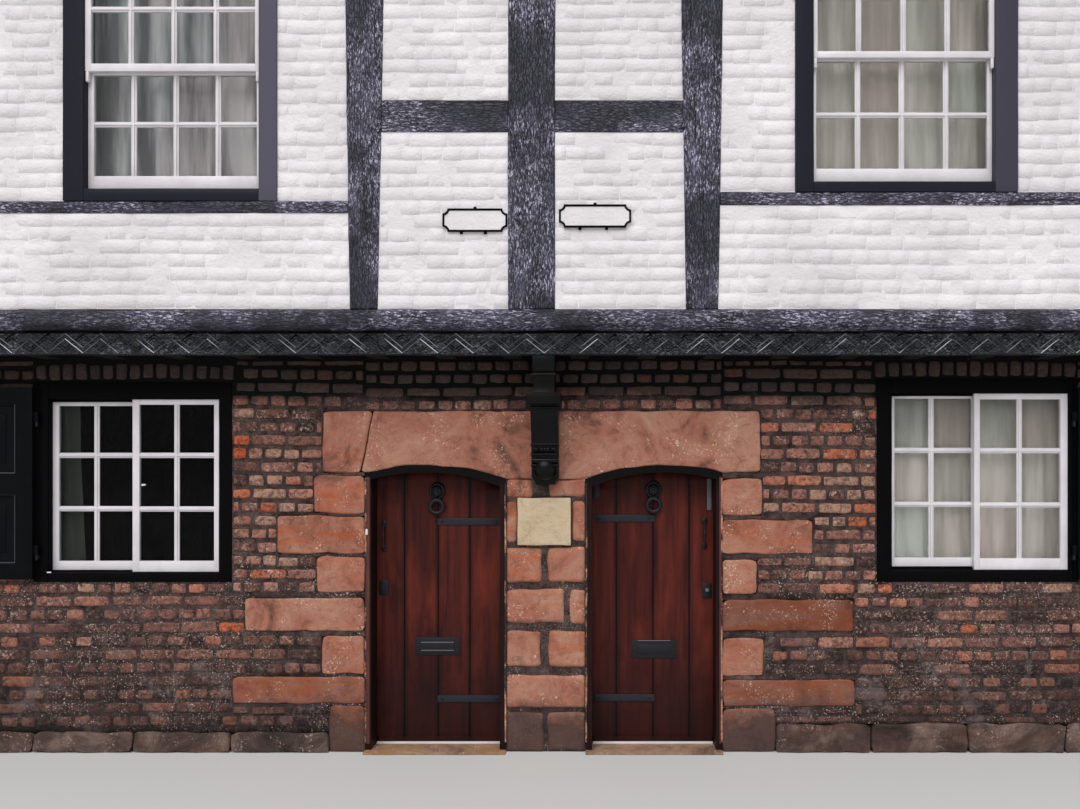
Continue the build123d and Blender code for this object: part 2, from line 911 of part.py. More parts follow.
# Pots with a base ring and a rolled lip, open down to a floor
with BuildPart() as chimney_pots:
    with BuildSketch(Plane.XZ) as pot_section:
        bore = pot_radius - pot_wall
        outline(
            [
                (0, 0),
                (pot_foot[0], 0),
                (pot_foot[0], pot_foot[1]),
                (pot_radius, pot_foot[1]),
                (pot_radius, pot_height - pot_lip[1]),
                (pot_lip[0], pot_height - pot_lip[1]),
                (pot_lip[0], pot_height),
                (bore, pot_height),
                (bore, pot_foot[1]),
                (0, pot_foot[1]),
            ]
        )
    middle = house_width - stack_width / 2
    with Locations((0, (stack[0] + stack[1]) / 2, stack_top)):
        with GridLocations(2 * middle, pot_spread, 2, 2):
            add(revolve(pot_section.sketch, axis=Axis.Z, mode=Mode.PRIVATE))
save(chimney_pots, "chimney_pots")


# Windows
def ring_outline(left, right, foot, head, side, top, bottom):
    """Frame seen from the street: side, top and bottom are its widths."""
    oblong(left, right, foot, head)
    oblong(left + side, right - side, foot + bottom, head - top, mode=Mode.SUBTRACT)


with BuildPart() as window_frames:
    for window in ground_window.values():
        with BuildSketch(elevation(front)):
            ring_outline(*window, casing, casing, casing)
        extrude(amount=-ground_frame_depth)
    for window in upper_window.values():
        with BuildSketch(elevation(upper_front - upper_frame_proud)):
            ring_outline(*window, upper_casing, upper_casing, upper_casing / 2)
        extrude(amount=-upper_frame_depth)
save(window_frames, "window_frames")


def ground_sashes(side):
    """Outer and inner sash of a ground window, which slide sideways."""
    left, right, foot, head = ground_window[side]
    left, right, foot, head = left + casing, right - casing, foot + casing, head - casing
    middle = (left + right) / 2
    return (middle - meeting / 2, right, foot, head), (left, middle + meeting / 2, foot, head)


def upper_sashes(side):
    """Outer and inner sash of an upper window, which slide up and down."""
    left, right, foot, head = upper_window[side]
    middle = foot + upper_meeting_up[side]
    left, right = left + upper_casing, right - upper_casing
    foot, head = foot + upper_casing / 2, head - upper_casing
    return (left, right, middle - meeting / 2, head), (left, right, foot, middle + meeting / 2)


def sash_places():
    """Every front sash: its corners and the plane of its outer face."""
    for side in sides:
        for level, face in ((ground_sashes, front), (upper_sashes, upper_front - upper_frame_proud)):
            for order, corners in enumerate(level(side)):
                yield corners, face + track + order * (sash_thick + sash_gap)


with BuildPart() as window_sashes:
    for corners, face in sash_places():
        with BuildSketch(elevation(face)):
            ring_outline(*corners, stile, stile, stile)
        extrude(amount=-sash_thick)
save(window_sashes, "window_sashes")


def back_window_face(level):
    """Plane of a back window's inner face."""
    return back - back_window_in[level] - back_frame_thick


with BuildPart() as back_windows:
    for level, (left, right, foot, head) in back_window_places():
        with BuildSketch(elevation(back_window_face(level))):
            ring_outline(left, right, foot, head, back_border, back_border, back_border)
            middle = (foot + head) / 2
            oblong(left, right, middle - stile / 2, middle + stile / 2)
        extrude(amount=-back_frame_thick)
save(back_windows, "back_windows")

with BuildPart() as window_glass:
    for (left, right, foot, head), face in sash_places():
        with BuildSketch(elevation(face + (sash_thick - glass) / 2)):
            oblong(left + stile, right - stile, foot + stile, head - stile)
        extrude(amount=-glass)
    for level, (left, right, foot, head) in back_window_places():
        with BuildSketch(elevation(back_window_face(level) + (back_frame_thick - glass) / 2)):
            oblong(left + back_border, right - back_border, foot + back_border, head - back_border)
            middle = (foot + head) / 2
            oblong(left, right, middle - stile / 2, middle + stile / 2, mode=Mode.SUBTRACT)
        extrude(amount=-glass)
save(window_glass, "window_glass")

# Curtains that hang just behind the front windows, drawn back in the left ground one
with BuildPart() as curtains:
    for side in sides:
        left, right, foot, head = ground_window[side]
        left, right = left + curtain_margin, right - curtain_margin
        with BuildSketch(elevation(front + ground_frame_depth + curtain_gap)):
            end = left + drape_width if side == "left" else right
            oblong(left, end, foot + casing, head - curtain_margin)
        extrude(amount=-curtain_thick)
    for left, right, foot, head in upper_window.values():
        left, right = left + curtain_margin, right - curtain_margin
        with BuildSketch(elevation(upper_front - upper_frame_proud + upper_frame_depth + curtain_gap)):
            oblong(left, right, foot + curtain_margin, head - curtain_margin)
        extrude(amount=-curtain_thick)
save(curtains, "curtains")


# Doors
def doorway_face(side, outer_inset, inner_inset, head_inset, foot=0.0, mode=Mode.ADD):
    """The doorway's outline, drawn in from its edges."""
    outer, inner = doorway[side]
    far, near = outer - outward[side] * outer_inset, inner + outward[side] * inner_inset
    with BuildLine() as edge:
        Polyline((near, arch_inner - head_inset), (near, foot), (far, foot), (far, arch_outer - head_inset))
        ThreePointArc(
            (far, arch_outer - head_inset),
            ((far + near) / 2, arch_crown - head_inset),
            (near, arch_inner - head_inset),
        )
    make_face(edge.edges(), mode=mode)


def door_pin(side):
    """Plan position of the pins that a door turns on."""
    return doorway[side][1] + outward[side] * (lining + hinge_gap), leaf_back + barrel_radius + barrel_gap


def pin(x, y, foot):
    """Bracket disc with an upright pin through the knuckle above it."""
    disc_height, pin_height = pin_bracket - pin_play, pin_bracket + knuckle_length
    for radius, height in ((bracket_radius, disc_height), (pin_radius, pin_height)):
        with BuildSketch(Plane.XY.offset(foot - pin_bracket)) as disc:
            with Locations((x, y)):
                Circle(radius)
        extrude(disc.sketch, amount=height)


def knuckle(x, y, foot, radius):
    """Barrel that turns on a pin."""
    with BuildSketch(Plane.XY.offset(foot)) as disc:
        with Locations((x, y)):
            Circle(radius)
    extrude(disc.sketch, amount=knuckle_length)


def knuckle_bore(x, y, foot):
    with BuildSketch(Plane.XY.offset(foot)) as disc:
        with Locations((x, y)):
            Circle(pin_radius + pin_play)
    extrude(disc.sketch, amount=knuckle_length, mode=Mode.SUBTRACT)


with BuildPart() as door_frames:
    for side in sides:
        x, y = door_pin(side)
        with BuildSketch(elevation(front + lining_set_back)):
            doorway_face(side, 0, 0, 0, foot=flags)
            doorway_face(side, stop_width, stop_width, head_stop, mode=Mode.SUBTRACT)
        extrude(amount=-(leaf_set_back - hinge_gap - lining_set_back))
        with BuildSketch(elevation(leaf_face - hinge_gap)):
            doorway_face(side, 0, 0, 0, foot=flags)
            doorway_face(side, lining, lining, head_stop - head_lap - swing_gap, mode=Mode.SUBTRACT)
        extrude(amount=-(leaf_thick + hinge_gap))
        for height in knuckle_heights:
            with BuildSketch(Plane.XY.offset(height - pin_bracket)):
                start = x - outward[side]
                oblong(start, start - outward[side] * hinge_plate[0], leaf_back, leaf_back + hinge_plate[1])
            extrude(amount=pin_bracket - pin_play)
            pin(x, y, height)
save(door_frames, "door_frames")


def door_leaf(side):
    """Four planks with grooved joints, a weather bar at the foot and two hinge knuckles behind."""
    outer, inner = doorway[side]
    x, y = door_pin(side)
    with BuildPart() as piece:
        with BuildSketch(elevation(leaf_face)):
            doorway_face(side, lining + swing_gap, lining + hinge_gap, head_stop - head_lap, foot=leaf_foot)
        extrude(amount=-leaf_thick)
        with BuildSketch(elevation(leaf_face)):
            for joint in plank_joints[side]:
                oblong(joint - groove / 2, joint + groove / 2, leaf_foot, arch_crown)
        extrude(amount=-groove / 2, mode=Mode.SUBTRACT)
        with BuildSketch(elevation(leaf_face)):
            clear = outward[side] * (stop_width + swing_gap)
            oblong(outer - clear, inner + clear, leaf_foot, leaf_foot + weather_bar[0])
        extrude(amount=weather_bar[1])
        for height in knuckle_heights:
            knuckle(x, y, height, barrel_radius)
            with BuildSketch(Plane.XY.offset(height)):
                oblong(x, x + outward[side] * hinge_flap[0], leaf_back, leaf_back + hinge_flap[1])
            extrude(amount=knuckle_length)
            knuckle_bore(x, y, height)
    return piece


save(door_leaf("left"), "left_door")
save(door_leaf("right"), "right_door")


def door_plate(x, z, width, height, thick):
    """Flat iron plate on the street face of a door."""
    with BuildSketch(elevation(leaf_face)) as face:
        with Locations((x, z)):
            Rectangle(width, height)
    extrude(face.sketch, amount=thick)


def door_ironwork(side):
    """Strap fronts, letter plate, pull, lock plate and knocker head on the street face of a door."""
    with BuildPart() as piece:
        start, end = strap[side]
        for height in strap_at[side]:
            door_plate((start + end) / 2, height, end - start, strap_height, strap_thick)
        x, z = letter_plate_at[side]
        door_plate(x, z, *letter_plate, plate_thick)
        door_plate(x, z, letter_flap[0], letter_flap[1], plate_thick + letter_flap[2])
        door_plate(*lock_at[side], *lock_size, plate_thick)
        x, z = pull_at[side]
        grip = pull_length / 2 - rose_radius
        with BuildSketch(elevation(leaf_face)):
            with Locations((x, z + grip), (x, z - grip)):
                RegularPolygon(rose_radius, 2 * ring_sides)
        extrude(amount=plate_thick)
        bow = [(-grip, 0), (-grip, pull_stand), (grip, pull_stand), (grip, 0)]
        with BuildLine(Plane((x, leaf_face, z), x_dir=(0, 0, 1), z_dir=(1, 0, 0))) as path:
            FilletPolyline(*bow, radius=pull_wire * 2)
        with BuildSketch(Plane(path.line @ 0, z_dir=path.line % 0)):
            RegularPolygon(pull_wire, ring_sides)
        sweep(path=path.line)
        x, z = knocker_at[side]
        with BuildSketch(Plane((x, leaf_face, z), x_dir=(1, 0, 0), z_dir=(0, 0, 1))):
            with BuildLine():
                Line((0, 0), (head_radius, 0))
                ThreePointArc((head_radius, 0), (0.75 * head_radius, -0.6 * head_relief), (0, -head_relief))
                Line((0, -head_relief), (0, 0))
            make_face()
        revolve(axis=Axis((x, leaf_face, z), (0, 1, 0)))
        lug_width, lug_height, lug_end = lug
        with BuildSketch(Plane.YZ.offset(x - lug_width / 2)):
            with Locations((leaf_face, z - ring_pivot_drop)):
                Rectangle(ring_stand + lug_end, lug_height, align=(Align.MAX, Align.CENTER))
            with Locations((leaf_face - ring_stand, z - ring_pivot_drop)):
                Circle(lug_hole, mode=Mode.SUBTRACT)
        extrude(amount=lug_width)
    return piece


save(door_ironwork("left"), "left_door_ironwork")
save(door_ironwork("right"), "right_door_ironwork")


def knocker_ring(side):
    """Ring that hangs in the lug under the knocker's head."""
    x, z = knocker_at[side]
    middle = (x, leaf_face - ring_stand, z - ring_pivot_drop - ring_radius)
    with BuildPart() as piece:
        with BuildSketch(Plane(middle, x_dir=(1, 0, 0), z_dir=(0, 0, 1))):
            with Locations((ring_radius, 0)):
                RegularPolygon(ring_wire, ring_sides)
        revolve(axis=Axis(middle, (0, 1, 0)))
    return piece


save(knocker_ring("left"), "left_knocker_ring")
save(knocker_ring("right"), "right_knocker_ring")


# Shutters and the pins that they hang on
def shutter_pin(side):
    edge = ground_window[side][0] if side == "left" else ground_window[side][1]
    return edge - outward[side] * shutter_pin_in


def shutter_heights(side):
    left, right, foot, head = ground_window[side]
    return foot + shutter_foot_up, head - shutter_head_drop[side]


def shutter_knuckles(side):
    foot, head = shutter_heights(side)
    return foot + shutter_knuckle_in, head - shutter_knuckle_in - knuckle_length


def shutter(side):
    """Framed leaf with two sunk panels, hung on two knuckles at the window side."""
    out = outward[side]
    x = shutter_pin(side)
    near = x + out * shutter_edge
    far = near + out * shutter_width
    foot, head = shutter_heights(side)
    rail = foot + shutter_rail_up
    with BuildPart() as piece:
        with BuildSketch(elevation(shutter_y - shutter_thick / 2)):
            oblong(near, far, foot, head)
        extrude(amount=-shutter_thick)
        with BuildSketch(elevation(shutter_y - shutter_thick / 2)):
            left, right = near + out * shutter_stile, far - out * shutter_stile
            oblong(left, right, foot + shutter_stile, rail)
            oblong(left, right, rail + shutter_rail, head - shutter_stile)
        extrude(amount=-shutter_panel_set_back, mode=Mode.SUBTRACT)
        for height in shutter_knuckles(side):
            knuckle(x, shutter_y, height, shutter_barrel)
            with BuildSketch(Plane.XY.offset(height)):
                oblong(x, near, shutter_y - shutter_flap / 2, shutter_y + shutter_flap / 2)
            extrude(amount=knuckle_length)
            knuckle_bore(x, shutter_y, height)
    return piece


save(shutter("left"), "left_shutter")
save(shutter("right"), "right_shutter")

with BuildPart() as shutter_pins:
    for side in sides:
        x = shutter_pin(side)
        for height in shutter_knuckles(side):
            with BuildSketch(Plane.XY.offset(height - pin_bracket)):
                oblong(x - shutter_arm / 2, x + shutter_arm / 2, shutter_y, front)
            extrude(amount=pin_bracket - pin_play)
            pin(x, shutter_y, height)
save(shutter_pins, "shutter_pins")
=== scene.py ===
import math
import random

import bmesh
import bpy
from mathutils import Matrix, Vector, noise


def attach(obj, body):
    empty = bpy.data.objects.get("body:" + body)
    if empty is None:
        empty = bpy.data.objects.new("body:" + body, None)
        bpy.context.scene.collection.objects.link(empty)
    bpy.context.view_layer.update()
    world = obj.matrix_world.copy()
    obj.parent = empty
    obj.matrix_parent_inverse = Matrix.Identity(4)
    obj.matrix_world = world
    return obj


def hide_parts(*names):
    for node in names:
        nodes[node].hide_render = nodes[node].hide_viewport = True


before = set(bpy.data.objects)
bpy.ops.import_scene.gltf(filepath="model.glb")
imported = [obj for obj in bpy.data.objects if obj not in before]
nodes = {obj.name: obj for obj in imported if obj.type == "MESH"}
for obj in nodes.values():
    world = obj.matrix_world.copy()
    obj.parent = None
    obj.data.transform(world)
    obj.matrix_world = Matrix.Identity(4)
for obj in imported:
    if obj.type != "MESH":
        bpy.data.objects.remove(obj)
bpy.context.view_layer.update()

dice = random.Random(11)
noise.seed_set(11)  # the vector noise follows the clock unless it is seeded
sides = {"left": -1, "right": 1}


# A colour from its 0 to 255 screen numbers
def paint(*levels):
    linear = [((n / 255 + 0.055) / 1.055) ** 2.4 if n > 10 else n / 3294 for n in levels]
    return (*linear, 1.0)


bench = {}  # the material in hand, its node tree and its shader


def addNode(kind):
    return bench["tree"].nodes.new("ShaderNode" + kind)


# Puts a fresh material on the bench and returns the place on the object that patterns read
def newFinish(name, roughness, settings=None):
    material = bpy.data.materials.new(name)
    material.use_nodes = True
    shader = material.node_tree.nodes["Principled BSDF"]
    for socket, value in {"Roughness": roughness, **(settings or {})}.items():
        shader.inputs[socket].default_value = value
    bench.update(material=material, tree=material.node_tree, shader=shader)
    return addNode("TexCoord").outputs["Object"]


def feed(value, socket):
    if isinstance(value, bpy.types.NodeSocket):
        bench["tree"].links.new(value, socket)
    else:
        socket.default_value = value


def stretched(place, scale):
    node = addNode("Mapping")
    feed(scale, node.inputs["Scale"])
    feed(place, node.inputs["Vector"])
    return node.outputs["Vector"]


def cloudy(place, scale, detail=4.0, roughness=0.6, twist=0.0):
    node = addNode("TexNoise")
    for socket, value in (("Vector", place), ("Scale", scale), ("Detail", detail), ("Roughness", roughness),
                          ("Distortion", twist)):
        feed(value, node.inputs[socket])
    return node.outputs["Fac"]


def cells(place, scale, feature="F1"):
    node = addNode("TexVoronoi")
    node.feature = feature
    feed(place, node.inputs["Vector"])
    feed(scale, node.inputs["Scale"])
    return node.outputs["Distance"]


# Colours along a factor from 0 to 1
def ramp(factor, *stops):
    node = addNode("ValToRGB")
    elements = node.color_ramp.elements
    elements[0].position, elements[0].color = stops[0]
    elements[1].position, elements[1].color = stops[-1]
    for position, colour in stops[1:-1]:
        elements.new(position).color = colour
    feed(factor, node.inputs["Fac"])
    return node.outputs["Color"]


# 0 below low and 1 above high, in grey
def between(factor, low, high):
    node = addNode("MapRange")
    for socket, value in (("From Min", low), ("From Max", high), ("Value", factor)):
        feed(value, node.inputs[socket])
    return node.outputs["Result"]


def mixed(factor, first, second):
    node = addNode("Mix")
    node.data_type = "RGBA"
    for socket, value in ((0, factor), (6, first), (7, second)):
        feed(value, node.inputs[socket])
    return node.outputs[2]


def reckon(operation, first, second=0.5):
    node = addNode("Math")
    node.operation = operation
    feed(first, node.inputs[0])
    feed(second, node.inputs[1])
    return node.outputs[0]


def times(first, second):
    return reckon("MULTIPLY", first, second)


def plus(first, second):
    return reckon("ADD", first, second)


def less(first, second):
    return reckon("SUBTRACT", first, second)


def painted(colour):
    feed(colour, bench["shader"].inputs["Base Color"])


# The relief comes last, so this returns the finished material
def bumped(height, depth):
    node = addNode("Bump")
    for socket, value in (("Distance", depth), ("Strength", 1.0), ("Height", height)):
        feed(value, node.inputs[socket])
    feed(node.outputs["Normal"], bench["shader"].inputs["Normal"])
    return bench["material"]


def marked(name):
    node = addNode("Attribute")
    node.attribute_name = name
    return node.outputs["Fac"]


def axisOf(place, axis):
    node = addNode("SeparateXYZ")
    feed(place, node.inputs[0])
    return node.outputs[axis]


# Painted shadow under the jetty: the street face of the wall darkens towards the jetty
def jettyShadowOf(place):
    height = plus(axisOf(place, "Z"), times(cloudy(place, 2.5, 5, 0.65), 0.3))
    front = between(axisOf(place, "Y"), -2.70, -2.74)
    low = between(axisOf(place, "Z"), 2.60, 2.50)
    return times(times(between(height, 2.27, 2.37), front), low)


# Damp rises in the foot of the walls, and old lime is smeared over brick and joint alike
def lowWall(place, base, amount):
    height = axisOf(place, "Z")
    damp = between(plus(height, cloudy(place, 1.7, 5, 0.65)), 1.35, 0.75)
    base = mixed(times(damp, amount), base, paint(42, 36, 37))
    smear = between(cloudy(place, 3.6, 9, 0.8), 0.54, 0.59)
    smear = times(smear, between(height, 1.0, 0.55))
    base = mixed(times(smear, 0.5), base, paint(126, 110, 110))
    speck = between(cloudy(place, 95, 3, 0.6), 0.62, 0.66)
    speck = times(speck, between(cloudy(place, 3.1, 4, 0.7), 0.47, 0.55))
    return mixed(times(speck, between(height, 1.5, 1.1)), base, paint(214, 196, 182))


# Weathered brick: every brick has its own tone, a sooty or flaked face, and pale crust at its worn edges;
# painted shadow darkens the top of the wall under the jetty
def makeBrickFinish():
    place = newFinish("oldBrick", 0.92, {"Specular IOR Level": 0.2})
    tone = marked("tone")
    base = ramp(tone, (0.0, paint(50, 40, 41)), (0.22, paint(84, 61, 58)), (0.45, paint(124, 84, 76)),
                (0.66, paint(160, 108, 95)), (0.80, paint(186, 130, 112)), (0.91, paint(198, 110, 76)),
                (0.96, paint(216, 102, 52)), (1.0, paint(190, 146, 126)))
    flake = between(cloudy(place, 24, 7, 0.75, 0.8), 0.45, 0.58)
    base = mixed(times(flake, 0.72), base, paint(60, 48, 47))
    pale = between(cloudy(place, 34, 6, 0.75, 0.6), 0.52, 0.64)
    base = mixed(times(pale, 0.5), base, paint(176, 132, 118))
    crust = between(cloudy(place, 58, 7, 0.78), 0.53, 0.61)
    patch = between(cloudy(place, 6, 5, 0.7), 0.46, 0.58)
    worn = reckon("MAXIMUM", times(marked("edge"), 0.6), patch)
    base = mixed(times(crust, worn), base, paint(226, 190, 174))
    pits = between(cloudy(place, 48, 6, 0.75, 0.4), 0.56, 0.63)
    base = mixed(times(pits, 0.75), base, paint(34, 27, 28))
    base = lowWall(place, base, 0.6)
    # Painted shadow of the jetty on the top courses
    base = mixed(times(jettyShadowOf(place), 0.90), base, paint(58, 52, 50))
    painted(base)
    grain = plus(cloudy(place, 170, 5, 0.7), cloudy(place, 42, 5, 0.65))
    return bumped(grain, 0.009)


def makeMortarFinish():
    place = newFinish("limeMortar", 0.95, {"Specular IOR Level": 0.2})
    base = ramp(cloudy(place, 16, 6, 0.72), (0.34, paint(32, 27, 28)), (0.70, paint(98, 81, 78)))
    pale = between(cloudy(place, 1.1, 5, 0.7), 0.46, 0.62)
    fleckAndGlint = between(cloudy(place, 90, 4, 0.7), 0.52, 0.62)
    base = mixed(times(times(pale, fleckAndGlint), 0.55), base, paint(172, 142, 130))
    base = lowWall(place, base, 0.5)
    # Painted shadow of the jetty: the joints under it go nearly black
    base = mixed(times(jettyShadowOf(place), 0.985), base, paint(9, 8, 8))
    painted(base)
    return bumped(cloudy(place, 90, 6, 0.72), 0.009)


# Dressed sandstone: soft blotches, iron-red beds, pale sparkle, grimy hollows and a blackened foot
def makeSandstoneFinish(name, middle, warm, pale, grime, soot=0.85, redBeds=True):
    middle, warm, pale, grime = (paint(*shade) for shade in (middle, warm, pale, grime))
    place = newFinish(name, 0.92, {"Specular IOR Level": 0.2})
    base = ramp(cloudy(place, 3.4, 7, 0.68, 0.8), (0.32, grime), (0.46, middle), (0.66, pale))
    if redBeds:
        beds = cloudy(stretched(place, (0.5, 1, 3)), 5, 5, 0.65, 0.8)
        warmth = times(between(beds, 0.42, 0.66), marked("tone"))
        base = mixed(warmth, base, warm)
    base = mixed(times(marked("edge"), 0.8), base, paint(84, 44, 32))
    dirt = between(cloudy(place, 14, 7, 0.72, 1.2), 0.52, 0.66)
    base = mixed(times(dirt, 0.45), base, grime)
    spark = between(cloudy(place, 66, 6, 0.78), 0.56, 0.61)
    patch = between(cloudy(place, 5, 5, 0.68), 0.52, 0.58)
    base = mixed(times(spark, patch), base, paint(236, 202, 184))
    height = plus(axisOf(place, "Z"), times(cloudy(place, 4, 5, 0.7), 0.5))
    base = mixed(times(between(height, 0.62, 0.42), soot), base, paint(66, 58, 57))
    painted(base)
    grain = plus(cloudy(place, 130, 5, 0.7), cloudy(place, 18, 6, 0.65))
    return bumped(grain, 0.009)


# Black paint on hewn oak, crazed along the grain, with painted highlights on the ridges of the crazing
def makeBlackTimber(name, stretch, low=(18, 18, 25), high=(88, 86, 106), paintedGlint=(222, 218, 246)):
    place = newFinish(name, 0.38, {"Specular IOR Level": 0.35})
    along = stretched(place, stretch)
    grain = cloudy(along, 44, 7, 0.75, 0.5)
    cracks = between(cells(along, 62, "DISTANCE_TO_EDGE"), 0.0, 0.12)
    base = ramp(cloudy(along, 12, 6, 0.72), (0.34, paint(*low)), (0.64, paint(*high)))
    fleckAndGlint = between(cloudy(along, 108, 6, 0.78), 0.51, 0.59)
    calm = between(cloudy(place, 1.7, 3, 0.5), 0.50, 0.57)
    base = mixed(times(calm, 0.7), base, paint(36, 37, 47))
    patch = between(cloudy(place, 6, 5, 0.7), 0.34, 0.56)
    patch = times(patch, less(1.0, times(calm, 0.85)))
    split = cloudy(stretched(place, tuple(0.06 if f < 1 else 1 for f in stretch)), 34, 5, 0.6, 0.5)
    # Painted highlights: pale bluish flecks on the crazed paint, where it would catch the light
    base = mixed(times(fleckAndGlint, patch), base, paint(*paintedGlint))
    base = mixed(times(less(1.0, cracks), 0.7), base, paint(14, 14, 18))
    base = mixed(times(between(split, 0.60, 0.66), 0.85), base, paint(10, 10, 13))
    painted(base)
    relief = plus(times(cracks, 0.4), grain)
    return bumped(relief, 0.010)


# Many coats of white paint over rough brick
def makeWhiteBrick(name, coursed=False):
    place = newFinish(name, 0.62)
    base = ramp(cloudy(place, 2.2, 5, 0.6), (0.3, paint(222, 217, 220)), (0.7, paint(244, 240, 243)))
    base = mixed(times(marked("tone"), 0.07), base, paint(196, 190, 196))
    grime = between(cloudy(place, 26, 6, 0.7), 0.60, 0.78)
    base = mixed(times(grime, 0.35), base, paint(168, 160, 158))
    painted(base)
    relief = plus(cloudy(place, 60, 5, 0.65), cloudy(stretched(place, (0.4, 1, 1)), 20, 5, 0.65))
    if coursed:
        courses = addNode("TexBrick")
        spun = addNode("Mapping")
        feed((math.pi / 2, 0, 0), spun.inputs["Rotation"])
        feed(place, spun.inputs["Vector"])
        feed(spun.outputs["Vector"], courses.inputs["Vector"])
        for socket, value in (("Scale", 1.0), ("Mortar Size", 0.005), ("Mortar Smooth", 0.9),
                              ("Brick Width", 0.229), ("Row Height", 0.083)):
            feed(value, courses.inputs[socket])
        relief = less(relief, times(courses.outputs["Fac"], 0.8))
    return bumped(relief, 0.006)


def makeWhiteJoinery():
    place = newFinish("whiteGlossPaint", 0.35)
    wear = between(cloudy(place, 34, 6, 0.75), 0.60, 0.8)
    base = ramp(cloudy(place, 5, 4), (0.3, paint(214, 209, 213)), (0.7, paint(234, 230, 234)))
    base = mixed(times(wear, 0.4), base, paint(138, 132, 134))
    painted(base)
    return bumped(cloudy(place, 60, 4), 0.0012)


def makeGlossBlack(name, shade, roughness, gloss=0.25, paintedHighlight=None):
    place = newFinish(name, roughness, {"Specular IOR Level": gloss})
    scuff = between(cloudy(place, 30, 6, 0.75), 0.58, 0.78)
    base = mixed(times(scuff, 0.35), paint(*shade), paint(*(c + 28 for c in shade)))
    # Painted highlight: the tone attribute mixes in a lighter colour on faces that would catch the light
    if paintedHighlight:
        base = mixed(marked("tone"), base, paint(*paintedHighlight))
    painted(base)
    return bumped(cloudy(stretched(place, (1, 1, 0.15)), 70, 5), 0.0015)


def makeIron():
    place = newFinish("blackIron", 0.45, {"Metallic": 0.55})
    rust = between(cloudy(place, 55, 6, 0.75), 0.60, 0.74)
    base = mixed(times(rust, 0.5), paint(34, 34, 40), paint(70, 50, 44))
    painted(base)
    return bumped(cloudy(place, 120, 5, 0.7), 0.0012)


def makeGlass(name, low, high, bend):
    place = newFinish(name, 0.03, {"Transmission Weight": 1.0, "IOR": bend})
    painted(mixed(marked("tone"), paint(*low), paint(*high)))
    return bumped(cloudy(place, 2.2, 2), 0.004)


def makeNet(name, low, high):
    place = newFinish(name, 0.9, {"Sheen Weight": 0.3})
    weave = cells(place, 420)
    # Painted shading of the folds: soft light and dark upright streaks
    paintedFoldShade = cloudy(stretched(place, (1, 1, 0.1)), 9, 4, 0.55)
    base = ramp(paintedFoldShade, (0.38, paint(*low)), (0.62, paint(*high)))
    base = mixed(times(weave, 0.25), base, paint(120, 116, 110))
    # Painted shade: the cloth darkens between 1.75 and 2.6 m, at the top of the ground-floor curtains
    height = axisOf(place, "Z")
    shade = times(between(height, 1.75, 2.2), between(height, 2.6, 2.4))
    painted(mixed(times(shade, 0.55), base, paint(112, 110, 104)))
    return bumped(weave, 0.0008)


# Stained planks: each its own tone, long soft streaks, worn redder half way up and dark in the joints, with
# painted shade beside the joints and a painted shadow across the top under the arch
def makeStainedDoor(joints):
    place = newFinish("stainedPlanks", 0.4, {"Specular IOR Level": 0.12})
    long = stretched(place, (1, 1, 0.07))
    streak = cloudy(long, 22, 6, 0.62, 0.4)
    base = ramp(streak, (0.28, paint(44, 18, 17)), (0.5, paint(80, 33, 28)), (0.72, paint(106, 44, 34)))
    base = mixed(times(marked("tone"), 0.6), base, paint(52, 20, 20))
    middle = cloudy(stretched(place, (2.2, 1, 0.7)), 2.4, 4, 0.55)
    base = mixed(times(between(middle, 0.5, 0.68), 0.55), base, paint(124, 50, 34))
    foot = between(plus(axisOf(place, "Z"), cloudy(place, 3, 4)), 1.35, 0.75)
    base = mixed(times(foot, 0.8), base, paint(32, 17, 18))
    # Painted shadow across the top of the planks, under the arch
    head = between(axisOf(place, "Z"), 1.50, 1.72)
    base = mixed(times(head, 0.55), base, paint(30, 14, 15))
    grime = between(cloudy(place, 8, 6, 0.7), 0.56, 0.74)
    base = mixed(times(grime, 0.4), base, paint(40, 20, 21))
    # Painted shade in a band beside each plank joint
    across, paintedJointShade = axisOf(place, "X"), 0.0
    for joint in joints:
        gap = reckon("ABSOLUTE", less(across, joint))
        paintedJointShade = reckon("MAXIMUM", between(gap, 0.030, 0.004), paintedJointShade)
    base = mixed(times(paintedJointShade, 0.6), base, paint(26, 13, 14))
    base = mixed(marked("edge"), base, paint(10, 6, 7))
    painted(base)
    fine = cloudy(stretched(place, (1, 1, 0.05)), 150, 5, 0.6)
    return bumped(plus(fine, streak), 0.0016)


def makeWood(name, dark, light, stretch, roughness=0.75):
    place = newFinish(name, roughness, {"Specular IOR Level": 0.25})
    along = stretched(place, stretch)
    grain = cloudy(along, 26, 6, 0.65, 1.2)
    painted(ramp(grain, (0.3, paint(*dark)), (0.7, paint(*light))))
    return bumped(grain, 0.003)


def makeFrameStain():
    place = newFinish("stainedFrame", 0.5, {"Specular IOR Level": 0.1})
    along = stretched(place, (1, 1, 0.1))
    base = ramp(cloudy(along, 26, 6, 0.65), (0.3, paint(18, 12, 13)), (0.7, paint(46, 24, 23)))
    height = axisOf(place, "Z")
    # Painted shadow: the frame goes near black above 1.6 m, under the stone arch
    base = mixed(between(height, 1.60, 1.70), base, paint(9, 7, 8))
    painted(base)
    return bumped(cloudy(along, 60, 5), 0.002)


# Old paint that has flaked off in places
def makeFlakes():
    place = newFinish("flakingPaint", 0.75)
    flaked = between(cloudy(stretched(place, (1, 1, 0.35)), 13, 6, 0.75), 0.47, 0.53)
    base = ramp(cloudy(place, 30, 5), (0.3, paint(128, 76, 62)), (0.7, paint(206, 156, 128)))
    painted(mixed(flaked, paint(40, 24, 24), base))
    return bumped(flaked, 0.001)


